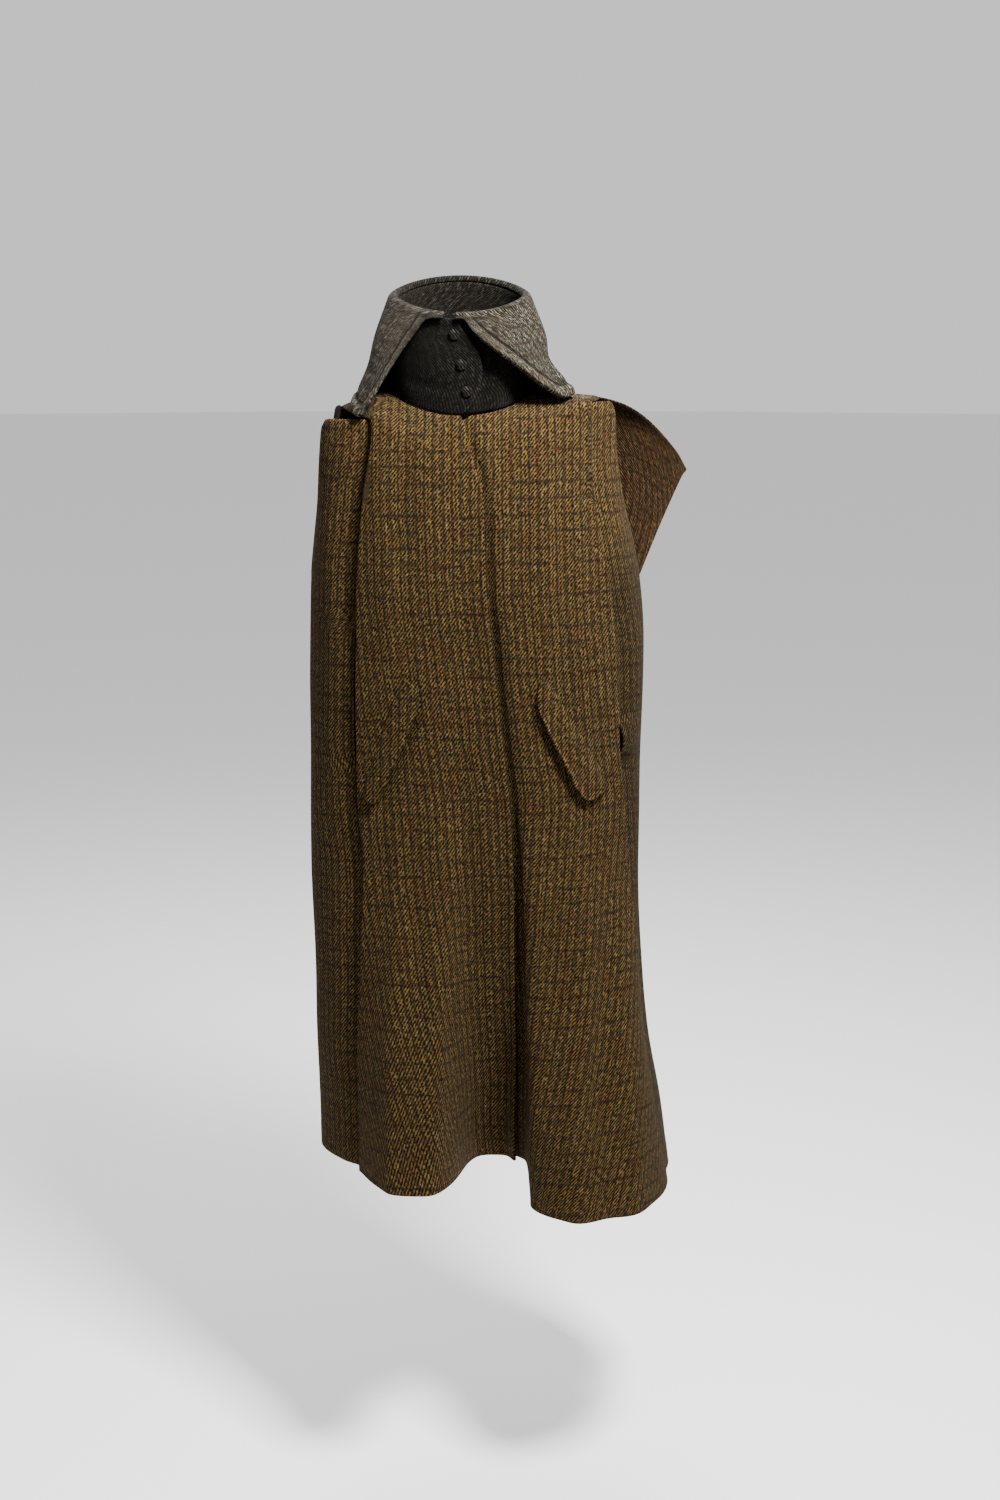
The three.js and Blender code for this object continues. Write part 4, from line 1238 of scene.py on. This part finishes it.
def darker(look, share):
    """The same cloth with all its colours darker, used as painted shade."""

    def dimmed(colour):
        return rgb(*(part * share for part in colour[:3]))

    changed = dict(look)
    changed["yarns"] = [dimmed(yarn) for yarn in look["yarns"]]
    changed["flecks"] = [(spot, dimmed(fleck)) for spot, fleck in look["flecks"]]
    for key in ("gap", "check"):
        changed[key] = dimmed(look[key])
    return changed


body_tweed = tweed("body tweed", BODY_LOOK)
collar_tweed = tweed("collar tweed", COLLAR_LOOK)
# A copy of the body tweed with painted shade below the shoulder, for the side front on the viewer's right.
side_tweed_painted_shade = tweed("side tweed painted shade", {**BODY_LOOK, "lower": 0.62})
# The flap's copy of the body tweed paints a stronger highlight on its beaded edge and shade along its thinner
# edges.
flap_tweed_painted_edges = tweed("flap tweed painted edges", {**BODY_LOOK, "thick": FLAP_CLOTH - 0.4, "rim": 0.7})
# The stand is the collar cloth painted darker as shade under the fall; its look's inner colour lands on the
# stand's outside, painting it darker still.
stand_tweed_painted_shade = tweed("stand tweed painted shade", {**darker(COLLAR_LOOK, STAND_PAINTED_SHADE), "inner": rgb(0.34, 0.33, 0.31)})
# The buttons are the collar cloth painted darker as shade under the fall.
button_tweed_painted_shade = tweed("button cloth painted shade", {**darker(COLLAR_LOOK, BUTTON_PAINTED_SHADE), "check_strength": 0.0})

# The pieces, most with the place in metres at which their weave starts.
front_right = centre_front("cloth_front_right", "left", body_tweed, (0.0, 0.0))
front_left = centre_front("cloth_front_left", "right", body_tweed, (0.004, 0.003))
side_front_right = side_front("cloth_side_front_right", "left", body_tweed, (0.002, 0.006))
side_front_left = side_front("cloth_side_front_left", "right", side_tweed_painted_shade, (0.007, 0.001))
back = back_panel("cloth_back", body_tweed, (0.0, 0.0))
flap_right = pocket_flap("cloth_flap_right", "left", flap_tweed_painted_edges, (0.003, 0.004))
flap_left = pocket_flap("cloth_flap_left", "right", flap_tweed_painted_edges, (0.006, 0.002))
stand = collar_stand("cloth_stand", stand_tweed_painted_shade)
fall = collar_fall("cloth_fall", collar_tweed)
buttons = [covered_button("covered_" + name, x, z, button_tweed_painted_shade) for name, x, z in BUTTONS]

# Each cloth piece, the node it stands for, its slot, and what holds it.
CLOTH_PIECES = [
    (front_right, "front_right", "body_tweed", ["back"]),
    (front_left, "front_left", "body_tweed", ["back"]),
    (side_front_right, "side_front_right", "body_tweed", ["front_right"]),
    (side_front_left, "side_front_left", "body_tweed", ["front_left"]),
    (back, "back", "body_tweed", ["collar_stand"]),
    (flap_right, "pocket_flap_right", "body_tweed", ["front_right"]),
    (flap_left, "pocket_flap_left", "body_tweed", ["front_left"]),
    (stand, "collar_stand", "collar_tweed", ["back"]),
    (fall, "collar_fall", "collar_tweed", ["collar_stand"]),
]
# Each piece and button is attached to the root, and the imported part it stands for is hidden.
for piece, node, slot, holders in CLOTH_PIECES:
    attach(piece, "root")
    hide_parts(node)
    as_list(holders)
for piece, (node, _, _) in zip(buttons, BUTTONS):
    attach(piece, "root")
    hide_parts(node)

# Camera: level with the shoulders, a little above, looking down at the front.
PHOTO_AIM = Vector((0.051, 0.0, -0.480))
PHOTO_DISTANCE = 2.9
PHOTO_PITCH = math.radians(12)
LENS = 50.4
SENSOR_WIDTH = 36.0
camera_data = bpy.data.cameras.new("camera")
camera_data.lens = LENS
camera_data.sensor_width = SENSOR_WIDTH
camera = bpy.data.objects.new("camera", camera_data)
camera.location = PHOTO_AIM + Vector((0, -math.cos(PHOTO_PITCH), math.sin(PHOTO_PITCH))) * PHOTO_DISTANCE
camera.rotation_euler = (math.pi / 2 - PHOTO_PITCH, 0, 0)
bpy.context.scene.collection.objects.link(camera)
bpy.context.scene.camera = camera

# Soft studio light: where each stands, its size in metres and its power in watts.
LIGHTS = [
    ("key", (0.62, -0.92, 1.08), 0.45, 196),
    ("fill", (-1.6, -2.6, 1.2), 1.6, 10),
    ("rim", (-0.2, 1.9, 1.5), 1.2, 90),
]
LIGHT_AIM = Vector((0, 0, -0.4))
for name, place, size, power in LIGHTS:
    light_data = bpy.data.lights.new(name, "AREA")
    light_data.size = size
    light_data.energy = power
    light = bpy.data.objects.new(name, light_data)
    light.location = place
    light.rotation_euler = (LIGHT_AIM - Vector(place)).to_track_quat("-Z", "Y").to_euler()
    bpy.context.scene.collection.objects.link(light)

world = bpy.data.worlds.new("studio")
world.use_nodes = True
backdrop = world.node_tree.nodes["Background"]
backdrop.inputs["Color"].default_value = rgb(0.95, 0.95, 0.95)
backdrop.inputs["Strength"].default_value = 0.9
bpy.context.scene.world = world

# A pale floor, in metres.
FLOOR_PLACE = (0, 0, -1.5)
FLOOR_RADIUS = 30.0
bpy.ops.mesh.primitive_circle_add(vertices=96, radius=FLOOR_RADIUS, fill_type="NGON", location=FLOOR_PLACE)
floor = bpy.context.object
floor.name = "floor"
floor_shader = Shader("pale floor")
floor_surface = floor_shader.node("BsdfPrincipled", {"Base Color": rgb(0.82, 0.82, 0.82), "Roughness": 0.9})
floor_shader.node("OutputMaterial", {"Surface": floor_surface})
floor.data.materials.append(floor_shader.material)
